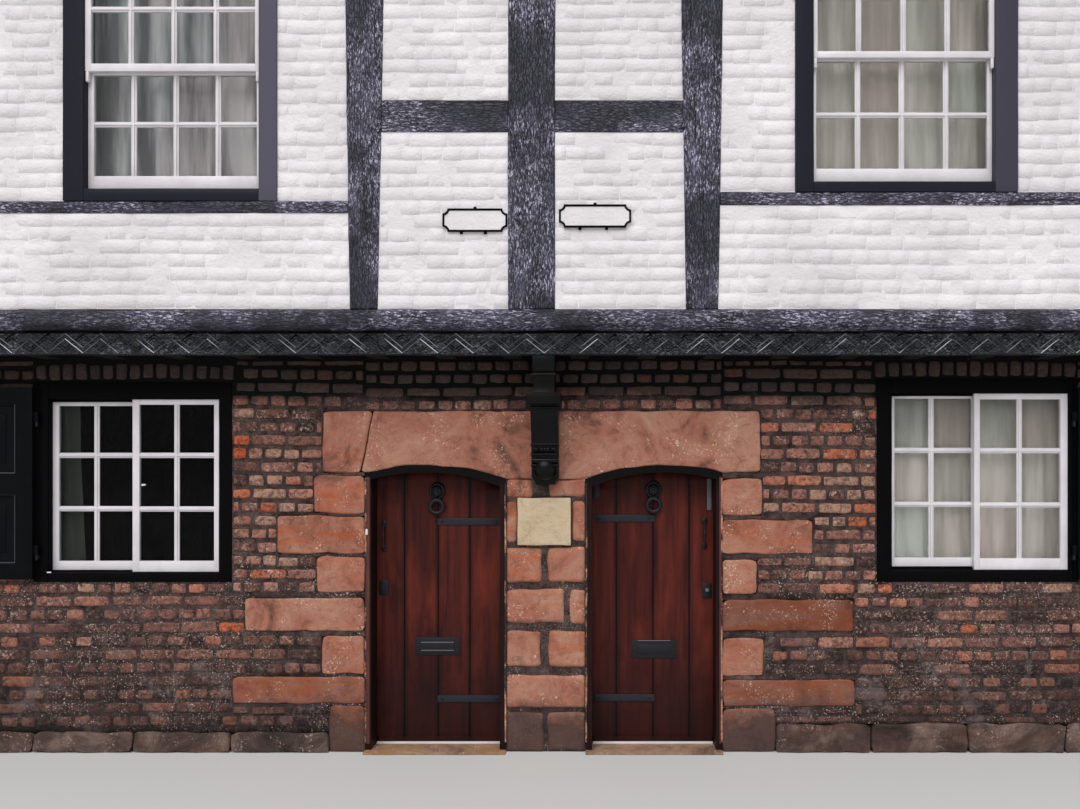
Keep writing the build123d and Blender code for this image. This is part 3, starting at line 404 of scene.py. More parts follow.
def makeSlate():
    place = newFinish("greySlate", 0.55)
    tone = marked("tone")
    base = ramp(tone, (0.0, paint(70, 72, 82)), (0.5, paint(92, 92, 104)), (1.0, paint(122, 116, 124)))
    moss = between(cloudy(place, 7, 6, 0.7), 0.60, 0.74)
    base = mixed(times(moss, 0.5), base, paint(104, 104, 78))
    painted(base)
    return bumped(cloudy(stretched(place, (0.3, 1, 0.3)), 70, 5, 0.6), 0.003)


def makeClay(name, middle, light, soot, pitch=0.0):
    place = newFinish(name, 0.85)
    base = ramp(cloudy(place, 8, 5), (0.3, paint(*middle)), (0.7, paint(*light)))
    dirt = between(cloudy(place, 20, 6, 0.7), 0.5, 0.7)
    base = mixed(times(dirt, 0.5), base, paint(*soot))
    relief = cloudy(place, 120, 5, 0.7)
    if pitch:
        share = reckon("FRACT", reckon("DIVIDE", axisOf(place, "Y"), pitch), 0.0)
        joint = between(share, 0.035, 0.02)
        base = mixed(joint, base, paint(44, 34, 32))
        relief = less(relief, times(joint, 2.0))
    painted(base)
    return bumped(relief, 0.003)


def makeLead():
    place = newFinish("oldLead", 0.55, {"Metallic": 0.6})
    base = ramp(cloudy(place, 5, 6, 0.65), (0.3, paint(112, 116, 122)), (0.7, paint(156, 158, 160)))
    painted(base)
    return bumped(cloudy(place, 12, 4), 0.004)


finishes = {
    "brick": makeBrickFinish(),
    "mortar": makeMortarFinish(),
    "sandstone": makeSandstoneFinish("redSandstone", (176, 116, 98), (188, 100, 58), (196, 148, 126),
                                     (98, 70, 60)),
    "dateStone": makeSandstoneFinish("paleSandstone", (214, 190, 156), (206, 176, 140), (226, 206, 178),
                                     (170, 152, 128), 0.0, False),
    "plinthStone": makeSandstoneFinish("dampBaseStone", (92, 74, 69), (104, 68, 54), (158, 132, 120),
                                       (36, 30, 30), 0.3),
    "stepStone": makeSandstoneFinish("wornStep", (160, 128, 108), (168, 124, 84), (196, 160, 130),
                                     (92, 72, 62), 0.0),
    "blackUpright": makeBlackTimber("blackTimberUpright", (1, 1, 0.3)),
    "blackLevel": makeBlackTimber("blackTimberLevel", (0.3, 1, 1)),
    "fascia": makeBlackTimber("blackFascia", (0.5, 1, 1), (8, 9, 12), (26, 29, 36), (104, 108, 122)),
    "fasciaHighlightPaint": makeGlossBlack("fasciaHighlightPaint", (40, 43, 50), 0.5, 0.2, (196, 202, 212)),
    "bracket": makeGlossBlack("blackBracket", (6, 7, 9), 0.3, 0.16),
    "whiteBrick": makeWhiteBrick("whitePaintedBrick"),
    "whiteCourses": makeWhiteBrick("whitePaintedCourses", True),
    "joinery": makeWhiteJoinery(),
    "blackFrame": makeGlossBlack("blackWindowFrame", (6, 6, 8), 0.6, 0.05),
    # The upper frames are the same black paint made lighter and bluer than the ground frames, a painted sky
    # sheen, with a painted highlight colour for the right stile
    "upperFrameWithSheen": makeGlossBlack("upperWindowFrameWithSheen", (34, 35, 44), 0.35, 0.12, (88, 85, 100)),
    "shutter": makeGlossBlack("blackShutterPaint", (11, 13, 15), 0.4, 0.06),
    # Pale paint for the painted highlights along the shutter beads
    "shutterBeadHighlight": makeGlossBlack("shutterBeadHighlight", (56, 60, 64), 0.35),
    "iron": makeIron(),
    "strapIron": makeGlossBlack("strapIron", (38, 38, 47), 0.45),
    # Pale metal, also used for painted highlights on the door ironwork
    "paleMetalAndHighlight": makeGlossBlack("paleMetalAndHighlight", (112, 108, 114), 0.4),
    "palePaint": makeFlakes(),
    "glass": makeGlass("windowGlass", (238, 243, 240), (248, 242, 240), 1.32),
    "dimGlass": makeGlass("dimGlass", (178, 182, 186), (188, 192, 196), 1.16),
    "net": makeNet("whiteNet", (206, 202, 196), (254, 250, 246)),
    # The grey curtain is lighter than its cloth, partly a painted reflection from its panes
    "greyNet": makeNet("greyCurtain", (132, 134, 142), (244, 243, 248)),
    "greenCurtain": makeNet("greenCurtain", (92, 95, 82), (124, 128, 112)),
    "door": makeStainedDoor((-0.917, -0.702, -0.500, 0.433, 0.668, 0.898)),
    "doorFrame": makeFrameStain(),
    "fadedStain": makeWood("fadedFrameStain", (70, 36, 34), (112, 64, 56), (1, 1, 0.1)),
    "oak": makeWood("bareOak", (86, 66, 50), (128, 102, 78), (1, 0.12, 1)),
    # A darker copy of the bare oak for the joists, which sit under the jetty: painted shade
    "oakInJettyShade": makeWood("oakInJettyShade", (22, 19, 18), (38, 32, 29), (1, 0.12, 1)),
    "boards": makeWood("oakBoards", (116, 86, 60), (152, 118, 84), (1, 0.1, 1)),
    "slate": makeSlate(),
    "ridgeClay": makeClay("ridgeClay", (128, 70, 54), (156, 92, 70), (76, 56, 50), 0.46),
    "potClay": makeClay("potClay", (168, 104, 76), (196, 136, 104), (78, 62, 56)),
    "lead": makeLead(),
    "flags": makeClay("stoneFlags", (140, 130, 120), (168, 158, 146), (104, 96, 88)),
}
print("materials made", len(finishes))


# A merged copy of a CAD node's mesh, with its flat faces in one piece again
def copyNode(node):
    bm = bmesh.new()
    bm.from_mesh(nodes[node].data)
    bmesh.ops.remove_doubles(bm, verts=bm.verts[:], dist=0.00002)
    bmesh.ops.dissolve_limit(bm, angle_limit=0.01, verts=bm.verts[:], edges=bm.edges[:])
    return bm


def onlyVerts(made):
    return [g for g in made if isinstance(g, bmesh.types.BMVert)]


def sharpEdges(bm, angle=0.7):
    return [e for e in bm.edges if len(e.link_faces) == 2 and e.calc_face_angle(0.0) > angle]


def easeEdges(bm, width, segments=2, angle=0.7):
    bmesh.ops.bevel(bm, geom=sharpEdges(bm, angle), offset=width, segments=segments, profile=0.5,
                    affect="EDGES", material=-1, clamp_overlap=True)


# Cuts the faces into a grid, with the given steps along X, Y and Z
def gridCut(bm, *steps):
    for axis, step in enumerate(steps):
        if not step:
            continue
        low = min(v.co[axis] for v in bm.verts)
        high = max(v.co[axis] for v in bm.verts)
        count = int((high - low) / step)
        for i in range(1, count):
            point, normal = Vector(), Vector()
            point[axis] = low + i * (high - low) / count
            normal[axis] = 1
            bmesh.ops.bisect_plane(bm, geom=bm.verts[:] + bm.edges[:] + bm.faces[:], plane_co=point,
                                   plane_no=normal)


# Moves every point by soft noise: amount in metres along X, Y and Z, scale in waves a metre
def roughen(bm, amount, scale, seed=0.0):
    for v in bm.verts:
        push = noise.noise_vector(v.co * scale + Vector((seed, seed, seed)))
        v.co += Vector((push.x * amount[0], push.y * amount[1], push.z * amount[2]))


def toneIslands(bm, low=0.0, high=1.0):
    layer = bm.verts.layers.float.new("tone")
    seen = set()
    for start in bm.verts:
        if start in seen:
            continue
        tone = dice.uniform(low, high)
        queue = [start]
        seen.add(start)
        while queue:
            v = queue.pop()
            v[layer] = tone
            for e in v.link_edges:
                other = e.other_vert(v)
                if other not in seen:
                    seen.add(other)
                    queue.append(other)


def settle(bm, name, finish, body="root", stands=(), smooth=40):
    mesh = bpy.data.meshes.new(name)
    bm.to_mesh(mesh)
    bm.free()
    mesh.shade_smooth()
    mesh.set_sharp_from_angle(angle=math.radians(smooth))
    mesh.materials.append(finishes[finish])
    piece = bpy.data.objects.new(name, mesh)
    bpy.context.collection.objects.link(piece)
    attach(piece, body)
    if stands:
        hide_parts(*stands)
    return piece


def dress(finish, *names):
    for name in names:
        for slot in nodes[name].material_slots:
            slot.material = finishes[finish]


# A block between two corners, with eased edges
def addBlock(bm, low, high, ease=0.0, segments=2):
    middle = (Vector(low) + Vector(high)) / 2
    size = Vector(high) - Vector(low)
    made = bmesh.ops.create_cube(bm, size=1.0, matrix=Matrix.Translation(middle) @ Matrix.Diagonal((*size, 1)))
    if ease:
        edges = {e for v in made["verts"] for e in v.link_edges}
        made = bmesh.ops.bevel(bm, geom=list(edges), offset=ease, segments=segments, profile=0.5,
                               affect="EDGES", material=-1, clamp_overlap=True)
    return made["verts"]


# A bar with round section from one point to another
def addRod(bm, start, end, radius, sides=12):
    start, end = Vector(start), Vector(end)
    along = end - start
    place = Matrix.Translation((start + end) / 2) @ along.to_track_quat("Z", "Y").to_matrix().to_4x4()
    return bmesh.ops.create_cone(bm, cap_ends=True, segments=sides, radius1=radius, radius2=radius,
                                 depth=along.length, matrix=place)["verts"]


def addBall(bm, middle, size, parts=(12, 8)):
    place = Matrix.Translation(middle) @ Matrix.Diagonal((*size, 1))
    across, up = parts
    return bmesh.ops.create_uvsphere(bm, u_segments=across, v_segments=up, radius=1.0, matrix=place)["verts"]


# A face that looks along -Y with an eased rim and sides that run back, as one brick, stone or slate shows
def makeShape(bm, length, height, parts, rim, depth, bow=0.0):
    old = set(bm.verts)
    turn = Matrix.Rotation(math.pi / 2, 4, "X")
    bmesh.ops.create_grid(bm, x_segments=parts[0], y_segments=parts[1], size=0.5, matrix=turn)
    fresh = [v for v in bm.verts if v not in old]
    bmesh.ops.scale(bm, vec=(length, 1, height), verts=fresh)
    faces = list({f for v in fresh for f in v.link_faces})
    bmesh.ops.inset_region(bm, faces=faces, thickness=rim, use_boundary=True, use_even_offset=True)
    fresh = [v for v in bm.verts if v not in old]
    edge = [v for v in fresh if v.is_boundary]
    worn = bm.verts.layers.float["edge"]
    for v in fresh:
        if v.is_boundary:
            v[worn] = 1.0
            v.co.y += rim * 0.8
            if abs(v.co.x) > length * 0.499 and abs(v.co.z) > height * 0.499:
                v.co.x -= math.copysign(rim * 0.4, v.co.x)
                v.co.z -= math.copysign(rim * 0.4, v.co.z)
        else:
            v.co.y -= bow * (1 - (2 * v.co.x / length) ** 2) * (1 - (2 * v.co.z / height) ** 2)
    if depth:
        loose = [e for v in edge for e in v.link_edges if e.is_boundary]
        made = bmesh.ops.extrude_edge_only(bm, edges=list(set(loose)))["geom"]
        bmesh.ops.translate(bm, verts=onlyVerts(made), vec=(0, depth, 0))
    fresh = [v for v in bm.verts if v not in old]
    faces = {f for v in fresh for f in v.link_faces}
    edges = {e for v in fresh for e in v.link_edges}
    return {"length": length, "height": height, "geom": fresh + list(edges) + list(faces)}


# Starts a field of bricks from a long and a short pattern brick
def startField(place, long, short, height, joint, rim, depth, cellsLong=(6, 3), cellsShort=(3, 3), bow=0.0):
    bm = bmesh.new()
    layer = bm.verts.layers.float.new("tone")
    bm.verts.layers.float.new("edge")
    shapes = [
        makeShape(bm, long - joint, height - joint, cellsLong, rim, depth, bow),
        makeShape(bm, short - joint, height - joint, cellsShort, rim, depth, bow),
    ]
    return {"bm": bm, "layer": layer, "shapes": shapes, "place": place, "long": long, "short": short,
            "height": height, "joint": joint, "lay": 1.0,
            "vary": 1.0, "proud": 1.0}


def setBrick(field, left, right, foot, head, tone, loose=1.0, lean=0.0):
    gap = field["joint"]
    length, height = right - left - gap, head - foot - gap * field["lay"]
    if length < 0.025 or height < 0.018:
        return
    shape = field["shapes"][0 if length > 0.7 * field["long"] else 1]
    copied = bmesh.ops.duplicate(field["bm"], geom=shape["geom"])["geom"]
    fresh = onlyVerts(copied)
    length *= 1 + field["vary"] * loose * dice.uniform(-0.03, 0.015)
    height *= 1 + field["vary"] * loose * dice.uniform(-0.12, 0.06)
    out = field["proud"] * loose * dice.uniform(-0.0015, 0.003)
    middle = Vector(((left + right) / 2, -out, (foot + head) / 2))
    middle.z += loose * dice.uniform(-0.0025, 0.0025)
    turn = Matrix.Rotation(lean + loose * dice.uniform(-0.012, 0.012), 4, "Y")
    grow = Matrix.Diagonal((length / shape["length"], 1, height / shape["height"], 1))
    place = field["place"] @ Matrix.Translation(middle) @ turn @ grow
    bmesh.ops.transform(field["bm"], matrix=place, verts=fresh)
    for v in fresh:
        v[field["layer"]] = tone


# The free parts of a course between holes, each with its own foot and head
def freeStrips(left, right, foot, head, holes):
    cuts = sorted({left, right, *(x for hole in holes for x in hole[:2] if left < x < right)})
    strips = []
    for x0, x1 in zip(cuts, cuts[1:]):
        low, high = foot, head
        for h0, h1, hFoot, hHead in holes:
            if h0 < x1 - 0.001 and h1 > x0 + 0.001 and hFoot < high and hHead > low:
                if hFoot - low > high - hHead:
                    high = hFoot
                else:
                    low = hHead
        if high - low < 0.03:
            continue
        if strips and abs(strips[-1][1] - x0) < 0.001 and strips[-1][2:] == (low, high):
            strips[-1] = (strips[-1][0], x1, low, high)
        else:
            strips.append((x0, x1, low, high))
    return [s for s in strips if s[1] - s[0] > 0.035]


# Courses between a foot and a head. left and right are places or functions of height
def layCourses(field, left, right, foot, head, holes=(), bond=(0, 1), toneAt=None, wave=0.0, phase=0.0,
               loose=1.0):
    count = max(1, round((head - foot) / field["height"]))
    course = (head - foot) / count
    ask = lambda edge, z: edge(z) if callable(edge) else edge
    for row in range(count):
        low, high = foot + row * course, foot + (row + 1) * course
        x0 = max(ask(left, low), ask(left, high))
        x1 = min(ask(right, low), ask(right, high))
        unit = field["short"] if bond[row % len(bond)] else field["long"]
        start = phase + (0 if bond[row % len(bond)] else unit / 4) + 0.03 * math.sin(row * 5.1)
        for a, b, z0, z1 in freeStrips(x0, x1, low, high, holes):
            joints = [a]
            x = start + math.ceil((a - start) / unit) * unit
            while x < b - 0.045:
                if x > joints[-1] + 0.045:
                    joints.append(x + loose * dice.uniform(-0.008, 0.008))
                x += unit
            joints.append(b)
            for i in range(len(joints) - 1):
                x = (joints[i] + joints[i + 1]) / 2
                whole = z0 == low and z1 == high
                lift = wave * math.sin(x * 2.1 + 0.7 * math.sin(x * 1.3 + low)) if whole else 0.0
                tone = toneAt(x, (z0 + z1) / 2) if toneAt else dice.random()
                setBrick(field, joints[i], joints[i + 1], z0 + lift, z1 + lift, tone, loose)


def finishField(field, name, finish, rough=(0.002, 0.002, 0.002), scale=30, smooth=50):
    bm = field["bm"]
    pattern = [v for shape in field["shapes"] for v in onlyVerts(shape["geom"])]
    bmesh.ops.delete(bm, geom=pattern, context="VERTS")
    if rough:
        roughen(bm, rough, scale)
    print(name, "faces", len(bm.faces))
    return settle(bm, name, finish, smooth=smooth)


ground = {
    "storey": 2.436, "wall": -2.800, "bed": 0.0075, "foot": 0.061,
    "long": 0.229, "short": 0.1145, "course": 0.083, "joint": 0.018,
    "base": {"left": 0.120, "right": 0.174},
    "windows": {"left": (-3.156, -1.953, 1.054, 2.294), "right": (2.046, 3.267, 1.054, 2.313)},
    "jambs": {
        "left": [(-1.441, 1.482, 1.711), (-1.670, 1.230, 1.463), (-1.426, 0.992, 1.209), (-1.869, 0.750, 0.955),
                 (-1.398, 0.484, 0.719), (-1.953, 0.301, 0.465), (-1.348, 0, 0.286)],
        "right": [(1.333, 1.466, 1.693), (1.649, 1.228, 1.438), (1.302, 0.980, 1.190), (1.903, 0.750, 0.942),
                  (1.342, 0.471, 0.701), (1.910, 0.285, 0.446), (1.414, 0, 0.270)],
    },
    "doorEdge": {"left": -1.130, "right": 1.090},
    "heads": {"left": (-1.389, -0.010, 1.730, 2.114), "right": (-0.010, 1.321, 1.730, 2.114)},
    "end": 4.400,
}


# Mortar bed behind the bricks of the street wall: the CAD wall with its face set back and made uneven
def makeBed(node):
    bm = copyNode(node)
    gridCut(bm, 0.09, 0, 0.09)
    for v in bm.verts:
        if v.co.y < ground["wall"] + 0.001:
            v.co.y += ground["bed"] * (1 + 0.9 * noise.noise(v.co * 1.9)) + 0.003 * noise.noise(v.co * 14)
    settle(bm, node + "_bed", "mortar", stands=[node])


# Darker near the ground, redder near the windows and under the jetty
def frontTone(x, z):
    near = 0.0
    if 0.9 < z < 1.9:
        near = max(0.0, 0.30 - 0.8 * min(abs(x + 1.78), abs(x - 1.82)))
    base = 0.41 + 0.14 * min(z, 1.9) + near + 0.10 * noise.noise(Vector((x * 1.3, 0, z * 1.7)))
    return min(0.86 if z < 0.75 else 1.0, max(0.0, dice.gauss(base, 0.28)))


def layFront():
    street = Matrix.Translation((0, ground["wall"], 0))
    field = startField(street, ground["long"], ground["short"], ground["course"], ground["joint"], 0.008, 0.02)
    field["lay"] = 1.25
    for side, sign in sides.items():
        window = ground["windows"][side]
        base = ground["base"][side]
        arch = (window[0] - 0.02, window[1] + 0.02, window[3], window[3] + 0.115)
        holes = [window, arch, ground["heads"][side], (-9, 9, -9, base), (-9, 9, ground["storey"], 9)]
        edge = ground["doorEdge"][side]
        for far, foot, top in ground["jambs"][side]:
            holes.append((min(far, edge), max(far, edge), foot - 0.012, top + 0.012))
        left, right = sorted((sign * ground["end"], edge))
        layCourses(field, left, right, ground["foot"], ground["foot"] + 29 * ground["course"], holes,
                   bond=(0, 1) if side == "left" else (1, 0), toneAt=frontTone, wave=0.006, phase=0.04 * sign)
        count = 15
        pitch = (arch[1] - arch[0]) / count
        for i in range(count):
            x = arch[0] + (i + 0.5) * pitch
            share = (2 * i + 1 - count) / count
            lift = 0.008 * (1 - share * share)
            setBrick(field, x - pitch / 2, x + pitch / 2, arch[2] + lift, arch[3] + lift,
                     frontTone(x, 1.2) * 0.7, 1.0, 0.05 * share)
    over = (ground["doorEdge"]["left"], ground["doorEdge"]["right"])
    layCourses(field, *over, 2.114, ground["storey"], bond=(1, 0, 1, 1), toneAt=frontTone, wave=0.004)
    finishField(field, "front_bricks", "brick", (0.005, 0.004, 0.005), 22)


layFront()
for node in ("front_wall_left", "front_wall_right", "front_wall_over_doors"):
    makeBed(node)


# Party walls, back wall and chimney stacks: plainer bricks over their own mortar
def plainTone(x, z):
    return min(1.0, max(0.0, dice.gauss(0.52 + 0.1 * noise.noise(Vector((x, z, 3.0))), 0.15)))


rear = {"party": 4.400, "back": 2.800, "proud": 0.004, "stack": (0.700, 1.600), "stackInner": 3.950,
        "stackTop": 8.0519, "caps": (0.300, 0.150), "capHigh": 0.075, "capReach": 0.040,
        "windows": ((-2.8, -1.6, 1.054, 2.294), (1.6, 2.8, 1.054, 2.294)),
        # each end wall in three lifts: its near and far edge, foot and head
        "ends": ((-2.800, 2.800, 0.0, 2.436), (-2.800, 2.600, 2.436, 2.577), (-2.900, 2.600, 2.577, 5.100)),
        "onSlates": 5.260, "inValley": 5.78}  # where the outer and the inner face of a stack leave the roof


# The plane that looks away at this turn, this far out
def facing(turn, out):
    return Matrix.Rotation(turn, 4, "Z") @ Matrix.Translation((0, -out - rear["proud"], 0))


def plainField(place):
    return startField(place, ground["long"], ground["short"], ground["course"], 0.012, 0.006, 0.0,
                      (2, 1), (1, 1))


def layRear():
    field = plainField(facing(math.pi, rear["back"]))
    holes = [(-b, -a, c, d) for a, b, c, d in rear["windows"]]
    layCourses(field, -rear["party"], rear["party"], 0.0, ground["storey"], holes, toneAt=plainTone)
    finishField(field, "back_bricks", "brick", None)
    for side, sign in sides.items():
        flip = 1 if side == "right" else -1
        reach = lambda a, b: tuple(sorted((flip * a, flip * b)))
        field = plainField(facing(sign * math.pi / 2, rear["party"]))
        for near, far, foot, head in rear["ends"]:
            layCourses(field, *reach(near, far), foot, head, toneAt=plainTone)
        finishField(field, side + "_party_bricks", "brick", None)
        layStack(side, sign, reach)


# The four faces of a stack above the slates, with its two oversailing bands
def layStack(side, sign, reach):
    near, far = rear["stack"]
    bands = [(rear["stackTop"] - drop, rear["stackTop"] - drop + rear["capHigh"]) for drop in rear["caps"]]
    parts = [(rear["onSlates"], bands[0][0], 0.0), (*bands[0], rear["capReach"]),
             (bands[0][1], bands[1][0], 0.0), (*bands[1], rear["capReach"]),
             (bands[1][1], rear["stackTop"], 0.0)]
    pieces = None
    for foot, head, out in parts:
        across = sorted((sign * (rear["stackInner"] - out), sign * rear["party"]))
        faces = (
            (0.0, -(near - out), *across),
            (math.pi, far + out, -across[1], -across[0]),
            (sign * math.pi / 2, rear["party"], *reach(near - out, far + out)),
            (-sign * math.pi / 2, -(rear["stackInner"] - out), *reach(-near + out, -far - out)),
        )
        for turn, away, left, right in faces:
            place = facing(turn, away)
            if pieces is None:
                pieces = plainField(place)
            pieces["place"] = place
            low = max(foot, rear["inValley"]) if away < 0 and turn else foot
            layCourses(pieces, left, right, low, head, toneAt=plainTone)
    finishField(pieces, side + "_stack_bricks", "brick", None)


layRear()
dress("mortar", "back_wall", "party_wall_left", "party_wall_right", "joist_infill")


# marks: parts of a node by side, foot and top, with how orange and how dark each is
def makeStones(node, finish, step=0.045, amount=0.009, tones=(0.0, 1.0), ease=0.012, corner=0.034,
               marks=()):
    bm = copyNode(node)
    upright = [e for e in sharpEdges(bm, 0.5) if abs((e.verts[0].co - e.verts[1].co).normalized().y) > 0.9]
    bmesh.ops.bevel(bm, geom=upright, offset=corner, segments=3, profile=0.5, affect="EDGES", material=-1,
                    clamp_overlap=True)
    easeEdges(bm, ease, 2, 0.6)
    if node == "door_heads":
        for v in bm.verts:
            near = max(0.0, 1 - abs(v.co.x + 1.182) / 0.20)
            v.co.x += near * (0.022 + 0.075 * (v.co.z - 1.730) / 0.384)
    toneIslands(bm, *tones)
    tone, dark = bm.verts.layers.float["tone"], bm.verts.layers.float.new("edge")
    for foot, top, warm, deep in marks:
        for v in bm.verts:
            if foot - 0.004 < v.co.z < top + 0.004:
                v[tone], v[dark] = warm, deep
    gridCut(bm, step, step, step)
    roughen(bm, (amount, amount * 0.5, amount), 6.5, 3.0)
    roughen(bm, (0.004, 0.005, 0.004), 19, 9.0)
    for v in bm.verts:
        v.co.z = max(v.co.z, 0.001)
    print(node, "faces", len(bm.faces))
    settle(bm, node + "_worn", finish, stands=[node], smooth=60)


makeStones("left_jamb_stones", "sandstone", marks=(
    (1.482, 1.711, 0.7, 0.0), (1.230, 1.463, 1.0, 0.15), (0.992, 1.209, 0.6, 0.0), (0.750, 0.955, 0.15, 0.0),
    (0.484, 0.719, 0.5, 0.1), (0.301, 0.465, 0.8, 0.45)))
makeStones("right_jamb_stones", "sandstone", marks=(
    (1.466, 1.693, 0.3, 0.0), (1.228, 1.438, 0.5, 0.1), (0.980, 1.190, 0.4, 0.0), (0.750, 0.942, 0.95, 0.75),
    (0.471, 0.701, 0.5, 0.1), (0.285, 0.446, 0.8, 0.6)))
makeStones("door_heads", "sandstone", tones=(0.0, 0.4), ease=0.008, corner=0.02)
makeStones("front_plinth", "plinthStone", 0.04, 0.020)
makeStones("doorsteps", "stepStone", 0.08, 0.002, ease=0.003, corner=0.004)


# Middle pier: a core with mortar in its face, and worn stones set in it
pier = {
    "front": -2.800, "deep": 0.060,
    "stones": [(-0.252, -0.081, 1.575, 1.692), (0.012, 0.240, 1.575, 1.692), (-0.252, -0.182, 1.300, 1.560),
               (0.156, 0.240, 1.300, 1.560), (-0.252, -0.028, 1.048, 1.272), (0.005, 0.240, 1.048, 1.272),
               (-0.252, 0.112, 0.794, 1.011), (0.142, 0.240, 0.794, 1.011), (-0.252, -0.037, 0.522, 0.751),
               (0.006, 0.240, 0.522, 0.751), (-0.252, 0.240, 0.267, 0.478), (-0.252, -0.013, 0.0, 0.248),
               (0.005, 0.240, 0.0, 0.248)],
}


def makePier():
    bm = copyNode("centre_pier")
    far = [v for v in bm.verts if v.co.y < pier["front"] + 0.012]
    for v in far:
        v.co.y = pier["front"] + 0.013
    bmesh.ops.dissolve_degenerate(bm, dist=0.0001, edges=bm.edges[:])
    settle(bm, "pier_core", "mortar", stands=["centre_pier"])
    bm = bmesh.new()
    for left, right, foot, top in pier["stones"]:
        addBlock(bm, (left + 0.002, pier["front"], foot + 0.003),
                 (right - 0.002, pier["front"] + pier["deep"], top - 0.003), 0.022, 3)
    toneIslands(bm, 0.0, 0.8)
    gridCut(bm, 0.04, 0, 0.04)
    for v in bm.verts:
        if abs(v.co.x) < 0.235:
            v.co.x += 0.012 * noise.noise(v.co * 8)
        v.co.z += 0.012 * noise.noise(v.co * 8 + Vector((7, 0, 0)))
        v.co.y += 0.004 * noise.noise(v.co * 12)
    settle(bm, "pier_stones", "sandstone", smooth=60)


makePier()


# The pale stone let into the head of the pier
dateStone = {"corners": (-0.180, 0.149, 1.283, 1.575), "face": -2.812, "behind": 0.02}


def makeDateStone():
    left, right, foot, top = dateStone["corners"]
    bm = bmesh.new()
    addBlock(bm, (left - 0.001, dateStone["face"] - 0.002, foot - 0.001),
             (right + 0.001, dateStone["face"] + dateStone["behind"], top + 0.001), 0.006)
    gridCut(bm, 0.02, 0, 0.02)
    toneIslands(bm, 0.0, 0.2)
    roughen(bm, (0.003, 0.001, 0.003), 9, 1.0)
    settle(bm, "date_stone", "dateStone", smooth=60)


makeDateStone()


def makeTimber(node, finish, steps, sway, ripple=0.0022, ease=0.008, undercut=None):
    bm = copyNode(node)
    if undercut:
        bmesh.ops.bisect_plane(bm, geom=bm.verts[:] + bm.edges[:] + bm.faces[:], plane_co=(0, 0, undercut[0]),
                               plane_no=(0, 0, 1))
        foot, front = min(v.co.z for v in bm.verts), min(v.co.y for v in bm.verts)
        for v in bm.verts:
            if v.co.z < undercut[0] - 0.001 and v.co.y < front + 0.06:
                v.co.y += undercut[1] * (undercut[0] - v.co.z) / (undercut[0] - foot)
    easeEdges(bm, ease, 2, 0.9)
    gridCut(bm, *steps)
    roughen(bm, (sway, 0.002, sway), 2.1, 5.0)
    roughen(bm, (ripple, ripple, ripple), 13, 2.0)
    print(node, "faces", len(bm.faces))
    settle(bm, node + "_hewn", finish, "root", [node], smooth=50)


makeTimber("front_posts", "blackUpright", (0.05, 0, 0.06), 0.005)
makeTimber("front_rails", "blackLevel", (0.06, 0, 0.05), 0.005)
makeTimber("sill_beam", "blackLevel", (0.06, 0, 0.045), 0.008, undercut=(2.612, 0.034))
makeTimber("carved_bressumer", "fascia", (0.07, 0, 0), 0.003, 0.0012, 0.0015)


# Painted highlights along the arris of the carved zigzag: two broken ridges beside each groove, pale on the
# strokes that face the light and dim on the others
zigzag = {"half": 0.105, "rise": 0.042, "middle": 2.4975, "face": -3.071, "wire": 0.0026, "turns": 41}


def makeZigzag():
    bm = bmesh.new()
    layer = bm.verts.layers.float.new("tone")
    half, rise, y = zigzag["half"], zigzag["rise"], zigzag["face"]
    for i in range(-zigzag["turns"], zigzag["turns"]):
        x, z = i * half, zigzag["middle"] + (rise if i % 2 else -rise)
        lift = -2 * rise if i % 2 else 2 * rise
        # Strokes that face the light get the bright painted highlight
        paintedLitStroke = (i % 2 == 1) == (x < 0)
        for shift, tone in ((-0.0115, 1.0 if paintedLitStroke else 0.2), (0.0205, 0.35 if paintedLitStroke else 0.1)):
            for v in addRod(bm, (x, y, z + shift), (x + half, y, z + lift + shift), zigzag["wire"], 6):
                v[layer] = tone
    gridCut(bm, 0.035, 0, 0)
    for v in bm.verts:
        v[layer] *= max(0.1, min(1.0, 0.55 + 1.9 * noise.noise(v.co * 7)))
    roughen(bm, (0.0, 0.004, 0.002), 16, 4.0)
    settle(bm, "zigzag_painted_highlights", "fasciaHighlightPaint")


makeZigzag()
makeTimber("front_gables", "blackUpright", (0.09, 0, 0.09), 0.004)
makeTimber("bargeboards", "blackLevel", (0.2, 0, 0.2), 0.003, 0.001, 0.004)
dress("blackUpright", "back_frame")
dress("oak", "roof_timbers", "rear_lintel")
dress("oakInJettyShade", "floor_joists")
dress("boards", "upper_floor")


# White painted brick panels of the upper storey
upper = {
    "face": -3.092, "sill": 2.701, "tie": 4.900, "eaves": 5.100, "apex": 7.7219, "pitch": math.radians(50),
    "posts": [(-4.4, -4.2, -4.4, -4.2), (-3.420, -3.255, -3.461, -3.222), (-1.145, -0.980, -1.178, -0.939),
              (-0.212, 0.065, -0.212, 0.065), (0.836, 1.027, 0.805, 1.060), (3.373, 3.564, 3.340, 3.595),
              (4.2, 4.4, 4.2, 4.4)],
    "rails": [(3.743, 3.932), (3.266, 3.337), (3.743, 3.932), (3.743, 3.932), (3.313, 3.390), (3.743, 3.932)],
    "windows": ((-2.833, -1.572, 3.337, 4.900), (1.479, 2.792, 3.390, 4.900)),
    "rafter": 0.190, "collar": (6.250, 6.420), "king": 0.180, "stud": 0.150, "studAt": 0.850,
    "half": 2.2, "lastCourse": 7.35,
}


def postEdge(post, right):
    foot, head = (post[1], post[3]) if right else (post[0], post[2])
    return lambda z: foot + (head - foot) * (z - upper["sill"]) / (upper["tie"] - upper["sill"])


